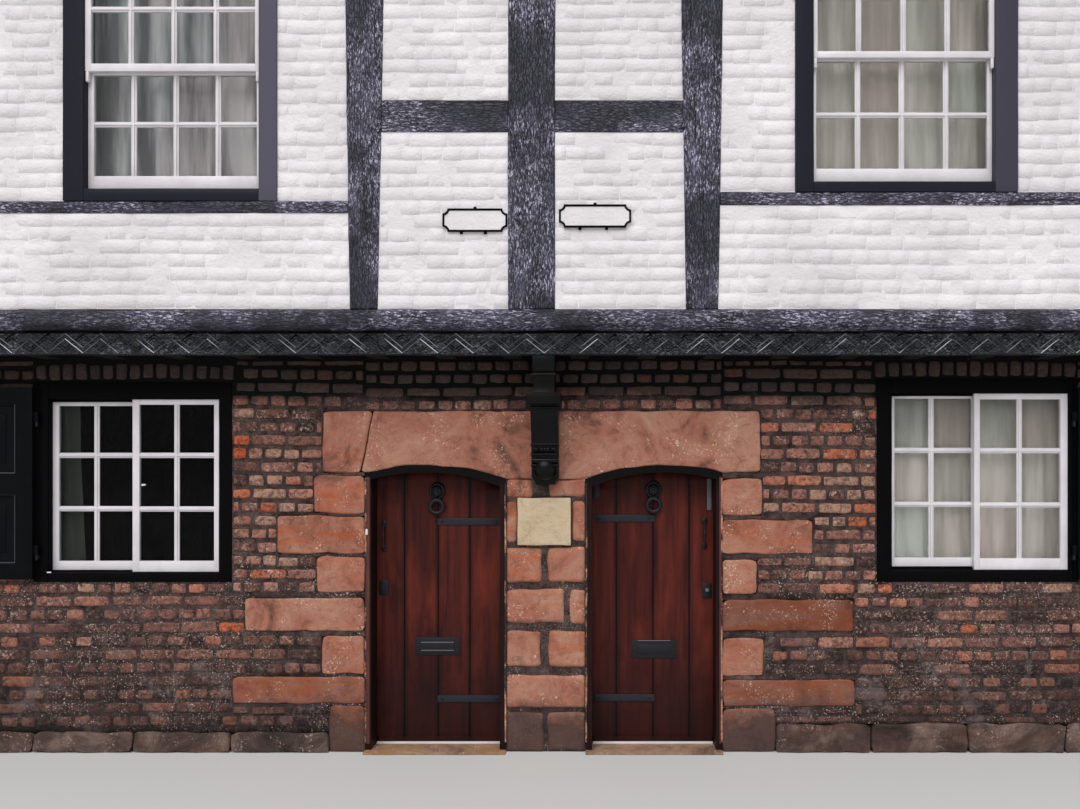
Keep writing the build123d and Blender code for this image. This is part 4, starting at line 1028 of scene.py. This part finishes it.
def gableEdge(centre, sign):
    slope = math.tan(upper["pitch"])
    half = upper["half"] - upper["rafter"] / math.sin(upper["pitch"])
    return lambda z: centre + sign * (half - (z - upper["eaves"]) / slope)


def layPanels():
    field = startField(Matrix.Translation((0, upper["face"] - 0.0011, 0)), ground["long"], ground["short"],
                       ground["course"], -0.003, 0.006, 0.0, (4, 2), (2, 2), 0.0006)
    field["vary"], field["proud"], field["lay"] = 0.1, 0.75, -0.6
    for i, rail in enumerate(upper["rails"]):
        left, right = postEdge(upper["posts"][i], True), postEdge(upper["posts"][i + 1], False)
        for foot, head, shift in ((upper["sill"], rail[0], 0.05), (rail[1], upper["tie"], 0.07)):
            layCourses(field, left, right, foot, head, upper["windows"], phase=shift * i, wave=0.004, loose=1.4)
    for centre in (-upper["half"], upper["half"]):
        left, right = gableEdge(centre, -1), gableEdge(centre, 1)
        eaves, king, stud = upper["eaves"], upper["king"] / 2, upper["stud"] / 2
        bars = [(centre - king, centre + king, eaves, upper["apex"])]
        for x in (centre - upper["studAt"], centre + upper["studAt"]):
            bars.append((x - stud, x + stud, eaves, upper["collar"][0]))
        layCourses(field, left, right, upper["eaves"], upper["collar"][0], bars, wave=0.004)
        layCourses(field, left, right, upper["collar"][1], upper["lastCourse"], bars, wave=0.004)
    finishField(field, "painted_bricks", "whiteBrick", (0.004, 0.0052, 0.004), 9, 70)


layPanels()
dress("whiteBrick", "front_infill")
dress("whiteCourses", "back_infill")
print("walls done")


# Boards round each window: outer and inner edges, front and depth
frames = {
    "ground": {"front": -2.800, "deep": 0.1, "finish": "blackFrame", "rings": (
        ((-3.156, -1.953, 1.054, 2.294), (-3.092, -2.034, 1.114, 2.188)),
        ((2.046, 3.267, 1.054, 2.313), (2.140, 3.237, 1.127, 2.225)))},
    "upper": {"front": -3.105, "deep": 0.140, "finish": "upperFrameWithSheen", "rings": (
        ((-2.833, -1.572, 3.337, 4.900), (-2.711, -1.681, 3.411, 4.842)),
        ((1.479, 2.792, 3.390, 4.900), (1.589, 2.658, 3.452, 4.842)))},
}

# Each sash: outer edges, glass edges, its face, its upright bars and its level bars
sashes = {
    "left_outer": ((-2.576, -2.0345, 1.115, 2.187), (-2.533, -2.069, 1.183, 2.154),
                   -2.785, (-2.304,), (1.505, 1.839)),
    "left_inner": ((-3.091, -2.555, 1.121, 2.174), (-3.052, -2.592, 1.179, 2.148),
                   -2.750, (-2.820,), (1.505, 1.839)),
    "right_outer": ((2.655, 3.236, 1.128, 2.224), (2.691, 3.191, 1.199, 2.187),
                   -2.785, (2.939,), (1.530, 1.868)),
    "right_inner": ((2.141, 2.690, 1.145, 2.214), (2.170, 2.655, 1.200, 2.194),
                   -2.750, (2.402,), (1.532, 1.870)),
    "left_upper": ((-2.709, -1.682, 4.105, 4.841), (-2.673, -1.706, 4.151, 4.795),
                   -3.090, (-2.441, -2.187, -1.938), (4.474,)),
    "left_lower": ((-2.709, -1.683, 3.412, 4.139), (-2.674, -1.708, 3.497, 4.096),
                   -3.055, (-2.441, -2.190, -1.940), (3.805,)),
    "right_upper": ((1.590, 2.657, 4.185, 4.841), (1.614, 2.626, 4.224, 4.795),
                   -3.090, (1.857, 2.121, 2.381), (4.550,)),
    "right_lower": ((1.591, 2.657, 3.464, 4.219), (1.614, 2.628, 3.541, 4.180),
                   -3.055, (1.861, 2.122, 2.385), (3.861,)),
}
sash = {"thick": 0.033, "bar": 0.0165, "ridge": 0.0065, "glass": (0.0145, 0.0185)}


def addRing(bm, outer, inner, front, deep, ease):
    left, right, foot, head = outer
    x0, x1, z0, z1 = inner
    back = front + deep
    addBlock(bm, (left, front, foot), (x0, back, head), ease)
    stile = addBlock(bm, (x1, front, foot), (right, back, head), ease)
    addBlock(bm, (x0 - 0.001, front + 0.0006, foot), (x1 + 0.001, back, z0), ease)
    addBlock(bm, (x0 - 0.001, front + 0.0006, z1), (x1 + 0.001, back, head), ease)
    return stile


def makeWindows():
    bm, panes, dim = bmesh.new(), bmesh.new(), bmesh.new()
    for glass in (panes, dim):
        glass.verts.layers.float.new("tone")
    for name, (outer, inner, face, uprights, levels) in sashes.items():
        addRing(bm, outer, inner, face, sash["thick"], 0.003)
        x0, x1, z0, z1 = inner
        for width, front in ((sash["bar"], 0.009), (sash["ridge"], 0.001)):
            for x in uprights:
                addBlock(bm, (x - width, face + front, z0 - 0.003),
                         (x + width, face + 0.026, z1 + 0.003), 0.0025, 1)
            for z in levels:
                addBlock(bm, (x0 - 0.003, face + front + 0.0004, z - width),
                         (x1 + 0.003, face + 0.0264, z + width), 0.0025, 1)
        low, high = sash["glass"]
        glass = dim if name in ("left_outer", "left_inner") else panes
        across, up = (x0 - 0.005, *uprights, x1 + 0.005), (z0 - 0.005, *levels, z1 + 0.005)
        for a, b in zip(across, across[1:]):
            for c, d in zip(up, up[1:]):
                tone = dice.random()
                near, far = (a + 0.001, face + low, c + 0.001), (b - 0.001, face + high, d - 0.001)
                for v in addBlock(glass, near, far):
                    v[glass.verts.layers.float["tone"]] = tone
        if "upper" in name:
            for x in (outer[0] + 0.011, outer[1] - 0.011):
                addBlock(bm, (x - 0.010, face + 0.002, outer[2] - 0.060),
                         (x + 0.010, face + 0.030, outer[2] + 0.01), 0.006)
    settle(bm, "sashes_and_bars", "joinery", stands=["window_sashes"])
    settle(panes, "sash_panes", "glass", stands=["window_glass"])
    settle(dim, "dim_panes", "dimGlass")
    for level, boards in frames.items():
        bm, front = bmesh.new(), boards["front"]
        layer = bm.verts.layers.float.new("tone")
        # The right stile of each ring is marked for the painted highlight, full on the left window and half on
        # the right
        for (outer, inner), paintedHighlight in zip(boards["rings"], (1.0, 0.5)):
            for v in addRing(bm, outer, inner, front, boards["deep"], 0.005):
                v[layer] = paintedHighlight
            if level == "ground":
                left, right, foot, head = inner
                middle = (left + right) / 2
                for low, high in ((head - 0.016, head + 0.002), (foot - 0.002, foot + 0.010)):
                    addBlock(bm, (left - 0.002, front + 0.040, low), (middle, front + 0.052, high), 0.002)
                x = outer[0] - 0.012 if left < 0 else outer[1] + 0.014
                addBlock(bm, (x - 0.014, front - 0.003, outer[2]), (x + 0.014, front + 0.03, outer[3]), 0.003)
        gridCut(bm, 0.1, 0, 0.1)
        roughen(bm, (0.0015, 0.0015, 0.0015), 6)
        stands = ["window_frames"] if level == "ground" else []
        settle(bm, level + "_window_boards", boards["finish"], stands=stands)


# The back panes come from the CAD glass, and each gets two thin uprights and a level bar
def makeBackWindows():
    bm, bars = copyNode("window_glass"), bmesh.new()
    bmesh.ops.delete(bm, geom=[v for v in bm.verts if v.co.y < 0], context="VERTS")
    left = set(bm.verts)
    while left:
        pane, queue = set(), [left.pop()]
        while queue:
            v = queue.pop()
            pane.add(v)
            near = {e.other_vert(v) for e in v.link_edges} & left
            left -= near
            queue += near
        low = [min(v.co[i] for v in pane) for i in range(3)]
        high = [max(v.co[i] for v in pane) for i in range(3)]
        wide, tall = high[0] - low[0], high[2] - low[2]
        front, back = low[1] - 0.004, high[1] + 0.008
        for share in (1 / 3, 2 / 3):
            x = low[0] + share * wide
            addBlock(bars, (x - 0.010, front, low[2]), (x + 0.010, back, high[2]), 0.002, 1)
        if tall > 0.4:
            z = low[2] + 0.5 * tall
            addBlock(bars, (low[0], front + 0.0004, z - 0.010), (high[0], back - 0.0004, z + 0.010), 0.002, 1)
    settle(bm, "back_panes", "glass")
    settle(bars, "back_glazing_bars", "joinery")


makeWindows()
makeBackWindows()
dress("joinery", "back_windows")


# Gathered cloth with its folds a metre, the depth of the folds, and how far its foot is drawn aside
def hangNet(name, left, right, foot, head, y, folds, depth, finish, sag=0.0):
    width, height = right - left, head - foot
    bm = bmesh.new()
    turn = Matrix.Rotation(math.pi / 2, 4, "X")
    bmesh.ops.create_grid(bm, x_segments=int(width * folds * 9), y_segments=22, size=0.5, matrix=turn)
    for v in bm.verts:
        u, t = v.co.x + 0.5, v.co.z + 0.5
        x = left + u * width
        wave = math.sin(2 * math.pi * folds * (x + 0.02 * noise.noise(Vector((x * 5, 0, t * 1.5)))))
        wave += 0.35 * math.sin(4.3 * math.pi * folds * x + 2 * t)
        v.co = (x + 0.006 * noise.noise(Vector((x * 20, 1, t * 3))) + sag * (1 - t) * (1 - t) * u,
                y + depth * wave * (0.75 + 0.25 * (1 - t)), foot + t * height)
    area = sum(f.calc_area() for f in bm.faces)
    piece = settle(bm, name, finish, smooth=180)
    return piece


drape = hangNet("left_room_drape", -3.150, -2.955, 1.140, 2.255, -2.687, 11, 0.010, "greenCurtain", 0.04)
hangNet("right_room_net", 2.084, 3.229, 1.140, 2.275, -2.687, 8, 0.0095, "net")
hangNet("left_upper_net", -2.795, -1.610, 3.376, 4.862, -2.952, 7, 0.010, "greyNet")
hangNet("right_upper_net", 1.517, 2.754, 3.429, 4.862, -2.952, 8, 0.010, "net")
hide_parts("curtains")
print("windows done")


plankJoints = {"left": (-0.917, -0.702, -0.500), "right": (0.433, 0.668, 0.898)}


def makeDoor(side):
    node = side + "_door"
    bm = copyNode(node)
    easeEdges(bm, 0.003, 1, 0.9)
    gridCut(bm, 0, 0, 0.07)
    layer = bm.verts.layers.float.new("tone")
    edge = bm.verts.layers.float.new("edge")
    tones = [dice.random() for _ in range(4)]
    for v in bm.verts:
        v[layer] = tones[sum(v.co.x > joint for joint in plankJoints[side])]
        near = min(abs(v.co.x - joint) for joint in plankJoints[side])
        v[edge] = 1.0 if near < 0.006 and -2.6236 < v.co.y < -2.610 else 0.0
    roughen(bm, (0.0003, 0.0004, 0.0), 5, 7.0)
    settle(bm, node + "_planks", "door", node, [node])


makeDoor("left")
makeDoor("right")
dress("doorFrame", "door_frames")

ironwork = {
    "face": -2.625,
    "straps": {"left": (-0.705, -0.300, (1.418, 0.288)), "right": (0.298, 0.676, (1.438, 0.295))},
    "letter": {"left": (-0.705, 0.624), "right": (0.673, 0.604)},
    "lock": {"left": (-1.049, 0.997), "right": (1.011, 0.977)},
    "pull": {"left": (-1.046, 1.326), "right": (0.995, 1.342)},
    "head": {"left": (-0.708, 1.610), "right": (0.670, 1.620)},
}


def makeIronwork(side):
    face = ironwork["face"]
    bm = bmesh.new()
    start, end, heights = ironwork["straps"][side]
    for z in heights:
        addBlock(bm, (start, face - 0.006, z - 0.022), (end, face + 0.001, z + 0.022), 0.0015)
        for share in (0, 1):
            x = start + 0.03 + (end - start - 0.06) * share
            addBall(bm, (x, face - 0.006, z), (0.009, 0.005, 0.009), (10, 6))
    x, z = ironwork["letter"][side]
    addBlock(bm, (x - 0.1425, face - 0.006, z - 0.057), (x + 0.1425, face + 0.001, z + 0.057), 0.003)
    addBlock(bm, (x - 0.105, face - 0.013, z - 0.024), (x + 0.105, face - 0.004, z + 0.024), 0.003)
    addRod(bm, (x - 0.108, face - 0.009, z + 0.026), (x + 0.108, face - 0.009, z + 0.026), 0.004)
    for dx in (-0.128, 0.128):
        addBall(bm, (x + dx, face - 0.006, z), (0.006, 0.003, 0.006), (10, 6))
    x, z = ironwork["lock"][side]
    addBlock(bm, (x - 0.031, face - 0.006, z - 0.0475), (x + 0.031, face + 0.001, z + 0.0475), 0.003)
    addRod(bm, (x, face - 0.001, z), (x, face - 0.012, z), 0.017, 20)
    x, z = ironwork["pull"][side]
    for sign in (-1, 1):
        addBall(bm, (x, face - 0.003, z + sign * 0.078), (0.018, 0.008, 0.024))
        addRod(bm, (x, face, z + sign * 0.078), (x, face - 0.036, z + sign * 0.072), 0.007)
    addRod(bm, (x, face - 0.037, z - 0.076), (x, face - 0.037, z + 0.076), 0.007)
    addBall(bm, (x, face - 0.037, z), (0.010, 0.010, 0.022))
    addLion(bm, *ironwork["head"][side], face)
    body = side + "_door"
    settle(bm, side + "_door_iron", "iron", body, [side + "_door_ironwork"], smooth=45)
    # Painted highlights on the letter plate: pale rods along the flap's edges, partly worn polished metal; on
    # the right door also a pale lock rose and a pale dot
    bm = bmesh.new()
    x, z = ironwork["letter"][side]
    for dz in (0.025, -0.026) if side == "left" else (0.056,):
        addRod(bm, (x - 0.104, face - 0.0125, z + dz), (x + 0.104, face - 0.0125, z + dz), 0.0025, 8)
    if side == "right":
        x, z = ironwork["lock"][side]
        addRod(bm, (x, face - 0.010, z + 0.006), (x, face - 0.014, z + 0.006), 0.012, 20)
        addBall(bm, (1.026, face - 0.010, 1.497), (0.008, 0.006, 0.008))
    settle(bm, side + "_door_pale_metal_and_highlights", "paleMetalAndHighlight", body)
    bm = bmesh.new()
    for z in heights:
        addBlock(bm, (start, face - 0.0068, z - 0.0225), (end, face - 0.0020, z + 0.0225), 0.002)
    settle(bm, side + "_door_straps", "strapIron", body)


# Lion's head: a mane of tufts round a broad face, with brow, eyes, muzzle, ears and a lug below for the ring
def addLion(bm, x, z, face):
    addBall(bm, (x, face - 0.001, z), (0.052, 0.018, 0.060), (24, 12))
    for i in range(16):
        angle = 2 * math.pi * i / 16
        dx, dz = 0.043 * math.sin(angle), 0.046 * math.cos(angle)
        addBall(bm, (x + dx, face - 0.010, z + dz), (0.010, 0.010, 0.013), (8, 6))
    addBall(bm, (x, face - 0.014, z), (0.033, 0.018, 0.038), (16, 10))
    addBall(bm, (x, face - 0.028, z - 0.012), (0.017, 0.012, 0.014), (12, 8))
    addBall(bm, (x, face - 0.032, z + 0.004), (0.008, 0.008, 0.018), (10, 8))
    for sign in (-1, 1):
        addBall(bm, (x + sign * 0.014, face - 0.029, z + 0.015), (0.010, 0.005, 0.005), (10, 6))
        addBall(bm, (x + sign * 0.014, face - 0.029, z + 0.007), (0.005, 0.004, 0.004), (8, 6))
        addBall(bm, (x + sign * 0.031, face - 0.018, z + 0.034), (0.010, 0.008, 0.011), (10, 8))
        addBall(bm, (x + sign * 0.010, face - 0.034, z - 0.014), (0.010, 0.008, 0.009), (10, 8))
    addBall(bm, (x, face - 0.030, z - 0.027), (0.011, 0.008, 0.006), (10, 6))
    addBlock(bm, (x - 0.005, face - 0.021, z - 0.066), (x + 0.005, face, z - 0.040), 0.002)


makeIronwork("left")
makeIronwork("right")
dress("iron", "shutter_pins")


# The worn rings are a little stouter than their plain CAD rings
def makeRing(side):
    node = side + "_knocker_ring"
    bm = copyNode(node)
    bmesh.ops.subdivide_edges(bm, edges=bm.edges[:], cuts=1, use_grid_fill=True, smooth=0.0)
    bm.normal_update()
    for v, normal in [(v, v.normal.copy()) for v in bm.verts]:
        v.co += normal * 0.0050
    top = Vector((ironwork["head"][side][0], -2.653, ironwork["head"][side][1] - 0.055))
    for v in bm.verts:
        v.co = top + (v.co - top) * 1.08
    settle(bm, node + "_worn", "iron", node, [node], smooth=60)


makeRing("left")
makeRing("right")


shutterLeaf = {"face": -2.841, "foot": 1.073, "head": 2.257, "rail": (1.593, 1.730), "stile": 0.105,
               "bead": 0.009, "edges": {"left": (-4.271, -3.166), "right": (3.277, 4.382)}}


# A framed leaf with a rounded bead round both of its sunk panels and a raised field in each
def makeShutter(side):
    node = side + "_shutter"
    bm = copyNode(node)
    easeEdges(bm, 0.004, 2, 0.9)
    left, right = shutterLeaf["edges"][side]
    left, right = left + shutterLeaf["stile"], right - shutterLeaf["stile"]
    rows = ((shutterLeaf["foot"] + shutterLeaf["stile"], shutterLeaf["rail"][0]),
            (shutterLeaf["rail"][1], shutterLeaf["head"] - shutterLeaf["stile"]))
    y, r = shutterLeaf["face"] + 0.005, shutterLeaf["bead"]
    for low, high in rows:
        for z in (low, high):
            addRod(bm, (left, y, z), (right, y, z), r, 10)
        for x in (left, right):
            addRod(bm, (x, y, low), (x, y, high), r, 10)
        addBlock(bm, (left + 0.06, y + 0.002, low + 0.06), (right - 0.06, y + 0.012, high - 0.06), 0.004, 2)
    # Painted highlights: thin pale rods along the foot and both sides of each sunk panel
    old = set(bm.faces)
    for low, high in rows:
        addRod(bm, (left, y - 0.006, low), (right, y - 0.006, low), 0.0042, 8)
        for x in (left, right):
            addRod(bm, (x, y - 0.006, low), (x, y - 0.006, high), 0.0036, 8)
    for f in bm.faces:
        if f not in old:
            f.material_index = 1
    leaf = settle(bm, node + "_leaf", "shutter", node, [node])
    leaf.data.materials.append(finishes["shutterBeadHighlight"])


makeShutter("left")
makeShutter("right")


# Bracket under the jetty: the CAD block with moulded bands, bosses and a rolled foot
# Each band of the bracket: its height, its reach from the wall, its thickness and half its length
bracket = {
    "x": -0.005, "wall": -2.800,
    "bands": ((2.318, 0.270, 0.007, 0.072), (2.213, 0.222, 0.006, 0.072), (2.125, 0.212, 0.008, 0.107),
              (1.905, 0.134, 0.008, 0.0865), (1.845, 0.134, 0.007, 0.0865), (1.778, 0.120, 0.007, 0.0865)),
}


def makeBracket():
    bm = copyNode("console_bracket")
    easeEdges(bm, 0.005, 2, 0.7)
    x, wall = bracket["x"], bracket["wall"]
    for z, reach, thick, wide in bracket["bands"]:
        addRod(bm, (x - wide, wall - reach + 0.004, z), (x + wide, wall - reach + 0.004, z), thick, 10)
    for i in range(4):
        addBall(bm, (x + (i - 1.5) * 0.040, wall - 0.132, 1.874), (0.017, 0.016, 0.017), (12, 8))
    addBall(bm, (x, wall - 0.088, 1.755), (0.072, 0.060, 0.070), (28, 18))
    for sign in (-1, 1):
        addRod(bm, (x + sign * 0.074, wall - 0.05, 1.735), (x + sign * 0.060, wall - 0.05, 1.735), 0.045, 20)
    settle(bm, "console_bracket_carved", "bracket", stands=["console_bracket"])


makeBracket()


# Two plates left bare: a white field in a raised black rim with hollow corners and a lug at each end
plates = {"face": -3.100, "thick": 0.010, "rim": 0.010, "corner": 0.030, "lug": 0.009,
          "places": ((-0.597, -0.215, 3.154, 3.290), (0.088, 0.513, 3.179, 3.314))}


def makePlate(name, left, right, foot, head):
    bm = bmesh.new()
    cut, y = plates["corner"], plates["face"]
    corners = [((left, foot), (left, foot + cut)), ((left, head), (left + cut, head)),
               ((right, head), (right, head - cut)), ((right, foot), (right - cut, foot))]
    ends = []
    for (cx, cz), (sx, sz) in corners:
        first = bm.verts.new((sx, y, sz))
        before = set(bm.verts)
        bmesh.ops.spin(bm, geom=[first], cent=(cx, y, cz), axis=(0, 1, 0), angle=math.pi / 2,
                       steps=6, dvec=(0, 0, 0))
        arc = [v for v in bm.verts if v not in before]
        ends.append((first, arc[-1]))
    for i in range(4):
        here, there = ends[i], ends[(i + 1) % 4]
        _, m, n = min(((a.co - b.co).length, m, n) for m, a in enumerate(here) for n, b in enumerate(there))
        bm.edges.new((here[m], there[n]))
    bmesh.ops.edgeloop_fill(bm, edges=bm.edges[:])
    made = bmesh.ops.extrude_face_region(bm, geom=bm.faces[:])["geom"]
    bmesh.ops.translate(bm, verts=onlyVerts(made), vec=(0, -plates["thick"], 0))
    bmesh.ops.recalc_face_normals(bm, faces=bm.faces[:])
    field = [f for f in bm.faces if f.normal.y < -0.9]
    bmesh.ops.inset_region(bm, faces=field, thickness=plates["rim"], use_even_offset=True)
    bmesh.ops.inset_region(bm, faces=field, thickness=0.002, depth=-0.005, use_even_offset=True)
    for f in bm.faces:
        f.material_index = 1
    for f in field:
        f.material_index = 0
    wide = right - left
    lug = plates["lug"]
    for share, z in ((0.29, foot - 0.006), (0.66, foot - 0.006), (0.5, head + 0.004)):
        x = left + share * wide
        made = addBlock(bm, (x - lug, y - 0.006, z - 0.008), (x + lug, y, z + 0.008), 0.003)
        for f in {f for v in made for f in v.link_faces}:
            f.material_index = 1
    piece = settle(bm, name, "whiteBrick")
    piece.data.materials.append(finishes["blackFrame"])


for order, corners in enumerate(plates["places"]):
    makePlate("bare_plate_%d" % order, *corners)


# Bell push, thresholds, flaking edge of the door frames, pegs, window latch and a chipped corner
def makeFittings():
    bm = bmesh.new()
    addBlock(bm, (-1.123, -2.806, 1.346), (-1.109, -2.794, 1.382), 0.003)
    addBall(bm, (-2.508, -2.790, 1.655), (0.011, 0.007, 0.007))
    addBall(bm, (-2.496, -2.790, 1.656), (0.007, 0.006, 0.006))
    addBlock(bm, (-3.098, -2.802, 1.110), (-3.072, -2.797, 1.118), 0.001)
    settle(bm, "pale_fittings", "joinery")
    bm = bmesh.new()
    for left, right in ((-1.085, -0.300), (0.285, 1.045)):
        addBlock(bm, (left, -2.668, 0.011), (right, -2.650, 0.024), 0.002)
    settle(bm, "thresholds", "joinery")
    bm = bmesh.new()
    for left, right, top in ((-1.130, -1.120, 1.700), (-0.262, -0.252, 1.665), (0.240, 0.250, 1.665),
                             (1.080, 1.090, 1.700)):
        addBlock(bm, (left, -2.7975, 0.06), (right, -2.780, top), 0.001, 1)
    gridCut(bm, 0, 0, 0.05)
    roughen(bm, (0.003, 0.001, 0), 15)
    settle(bm, "flaking_edges", "palePaint")
    bm = bmesh.new()
    addBlock(bm, (-1.121, -2.7965, 0.05), (-1.099, -2.770, 1.705), 0.002)
    addBlock(bm, (1.070, -2.7965, 0.05), (1.081, -2.770, 1.705), 0.002)
    settle(bm, "faded_frame_edges", "fadedStain")
    bm = bmesh.new()
    for x, z in ((-0.983, 3.855), (-0.983, 3.755), (0.819, 3.784)):
        addRod(bm, (x, -3.096, z), (x, -3.108, z), 0.013, 10)
    settle(bm, "oak_pegs", "blackUpright")
    bm = bmesh.new()
    addBlock(bm, (0.284, -2.634, 1.567), (0.326, -2.624, 1.655), 0.003)
    settle(bm, "right_door_dark_plate", "strapIron", "right_door")
    bm = bmesh.new()
    addBlock(bm, (1.012, -2.636, 1.490), (1.040, -2.624, 1.690), 0.003)
    settle(bm, "right_door_strip", "paleMetalAndHighlight", "right_door")


makeFittings()


roofing = {"long": 0.250, "gauge": 0.210, "lift": 0.008, "front": -3.250, "back": 2.950, "rise": 0.1089,
           "eaves": 5.100, "pitch": math.radians(50), "half": 2.2,
           # a hole for the stack along Y and up the slope, and the foot of the slates over the middle valley
           "stackHole": (0.66, 1.64, -0.1, 0.49), "valleyFoot": 0.28}


def laySlates():
    pitch = roofing["pitch"]
    half = roofing["half"]
    slope = half / math.cos(pitch)
    for centre in (-half, half):
        for sign in (-1, 1):
            out = Vector((sign * math.sin(pitch), 0, math.cos(pitch)))
            up = Vector((-sign * math.cos(pitch), 0, math.sin(pitch)))
            inward = -out
            along = inward.cross(up)
            low = Vector((centre + sign * half, 0, roofing["eaves"] + roofing["rise"]))
            place = Matrix((
                (along.x, inward.x, up.x, low.x),
                (along.y, inward.y, up.y, low.y),
                (along.z, inward.z, up.z, low.z),
                (0, 0, 0, 1),
            ))
            tilt = Matrix.Translation((0, -roofing["lift"], 0))
            field = startField(place @ tilt, roofing["long"], roofing["long"] / 2, roofing["gauge"], 0.003,
                               0.002, 0.008, (1, 1), (1, 1))
            flip = 1 if along.y > 0 else -1
            ends = sorted((flip * roofing["front"], flip * roofing["back"]))
            holes = []
            if abs(low.x) > 1:
                near, far, under, over = roofing["stackHole"]
                holes.append((*sorted((flip * near, flip * far)), under, over / math.cos(pitch)))
            foot = 0.0 if abs(low.x) > 1 else roofing["valleyFoot"] / math.cos(pitch)
            layCourses(field, *ends, foot, slope - 0.02, holes, bond=(0,), loose=0.5)
            finishField(field, "slates_%d_%d" % (centre > 0, sign > 0), "slate", None, smooth=30)


laySlates()
dress("slate", "roof_left_outer", "roof_left_inner", "roof_right_inner", "roof_right_outer")
dress("ridgeClay", "ridge_tiles")
dress("potClay", "chimney_pots")
dress("lead", "valley_gutter")
dress("flags", "ground_floor")
print("roof done")


studio = {
    "floorReach": 60, "floorShade": (0.62, 0.62, 0.61, 1),
    "skyRange": (-1.1, 1.0),  # white to the camera, dimmer to the house
    "lamp": {"energy": 2.1, "spread": math.radians(50), "turn": (math.radians(38), 0, math.radians(-14))},
    "camera": {"place": (0.330, -8.800, 1.829), "lens": 32.27, "shift": (-0.0556, 0.0486)},
}


def makeStage():
    bm = bmesh.new()
    bmesh.ops.create_grid(bm, x_segments=1, y_segments=1, size=studio["floorReach"])
    mesh = bpy.data.meshes.new("studio_floor")
    bm.to_mesh(mesh)
    bm.free()
    floor = bpy.data.objects.new("studio_floor", mesh)
    bpy.context.collection.objects.link(floor)
    newFinish("studioFloor", 0.9, {"Base Color": studio["floorShade"]})
    mesh.materials.append(bench["material"])


def makeLight():
    world = bpy.data.worlds.new("studio")
    world.use_nodes = True
    bench["tree"] = world.node_tree
    sky = world.node_tree.nodes["Background"]
    feed((1, 1, 1, 1), sky.inputs["Color"])
    feed(between(addNode("LightPath").outputs["Is Camera Ray"], *studio["skyRange"]), sky.inputs["Strength"])
    bpy.context.scene.world = world
    lamp = bpy.data.lights.new("softLamp", "SUN")
    lamp.energy, lamp.angle = studio["lamp"]["energy"], studio["lamp"]["spread"]
    holder = bpy.data.objects.new("soft_lamp", lamp)
    holder.rotation_euler = studio["lamp"]["turn"]
    bpy.context.collection.objects.link(holder)


def makeCamera():
    lens = bpy.data.cameras.new("streetCamera")
    lens.lens, lens.sensor_width, lens.clip_end = studio["camera"]["lens"], 36, 200
    lens.shift_x, lens.shift_y = studio["camera"]["shift"]
    camera = bpy.data.objects.new("street_camera", lens)
    camera.location = studio["camera"]["place"]
    camera.rotation_euler = (math.pi / 2, 0, 0)
    bpy.context.collection.objects.link(camera)
    bpy.context.scene.camera = camera


makeStage()
makeLight()
makeCamera()
bpy.context.scene.view_settings.view_transform = "Standard"
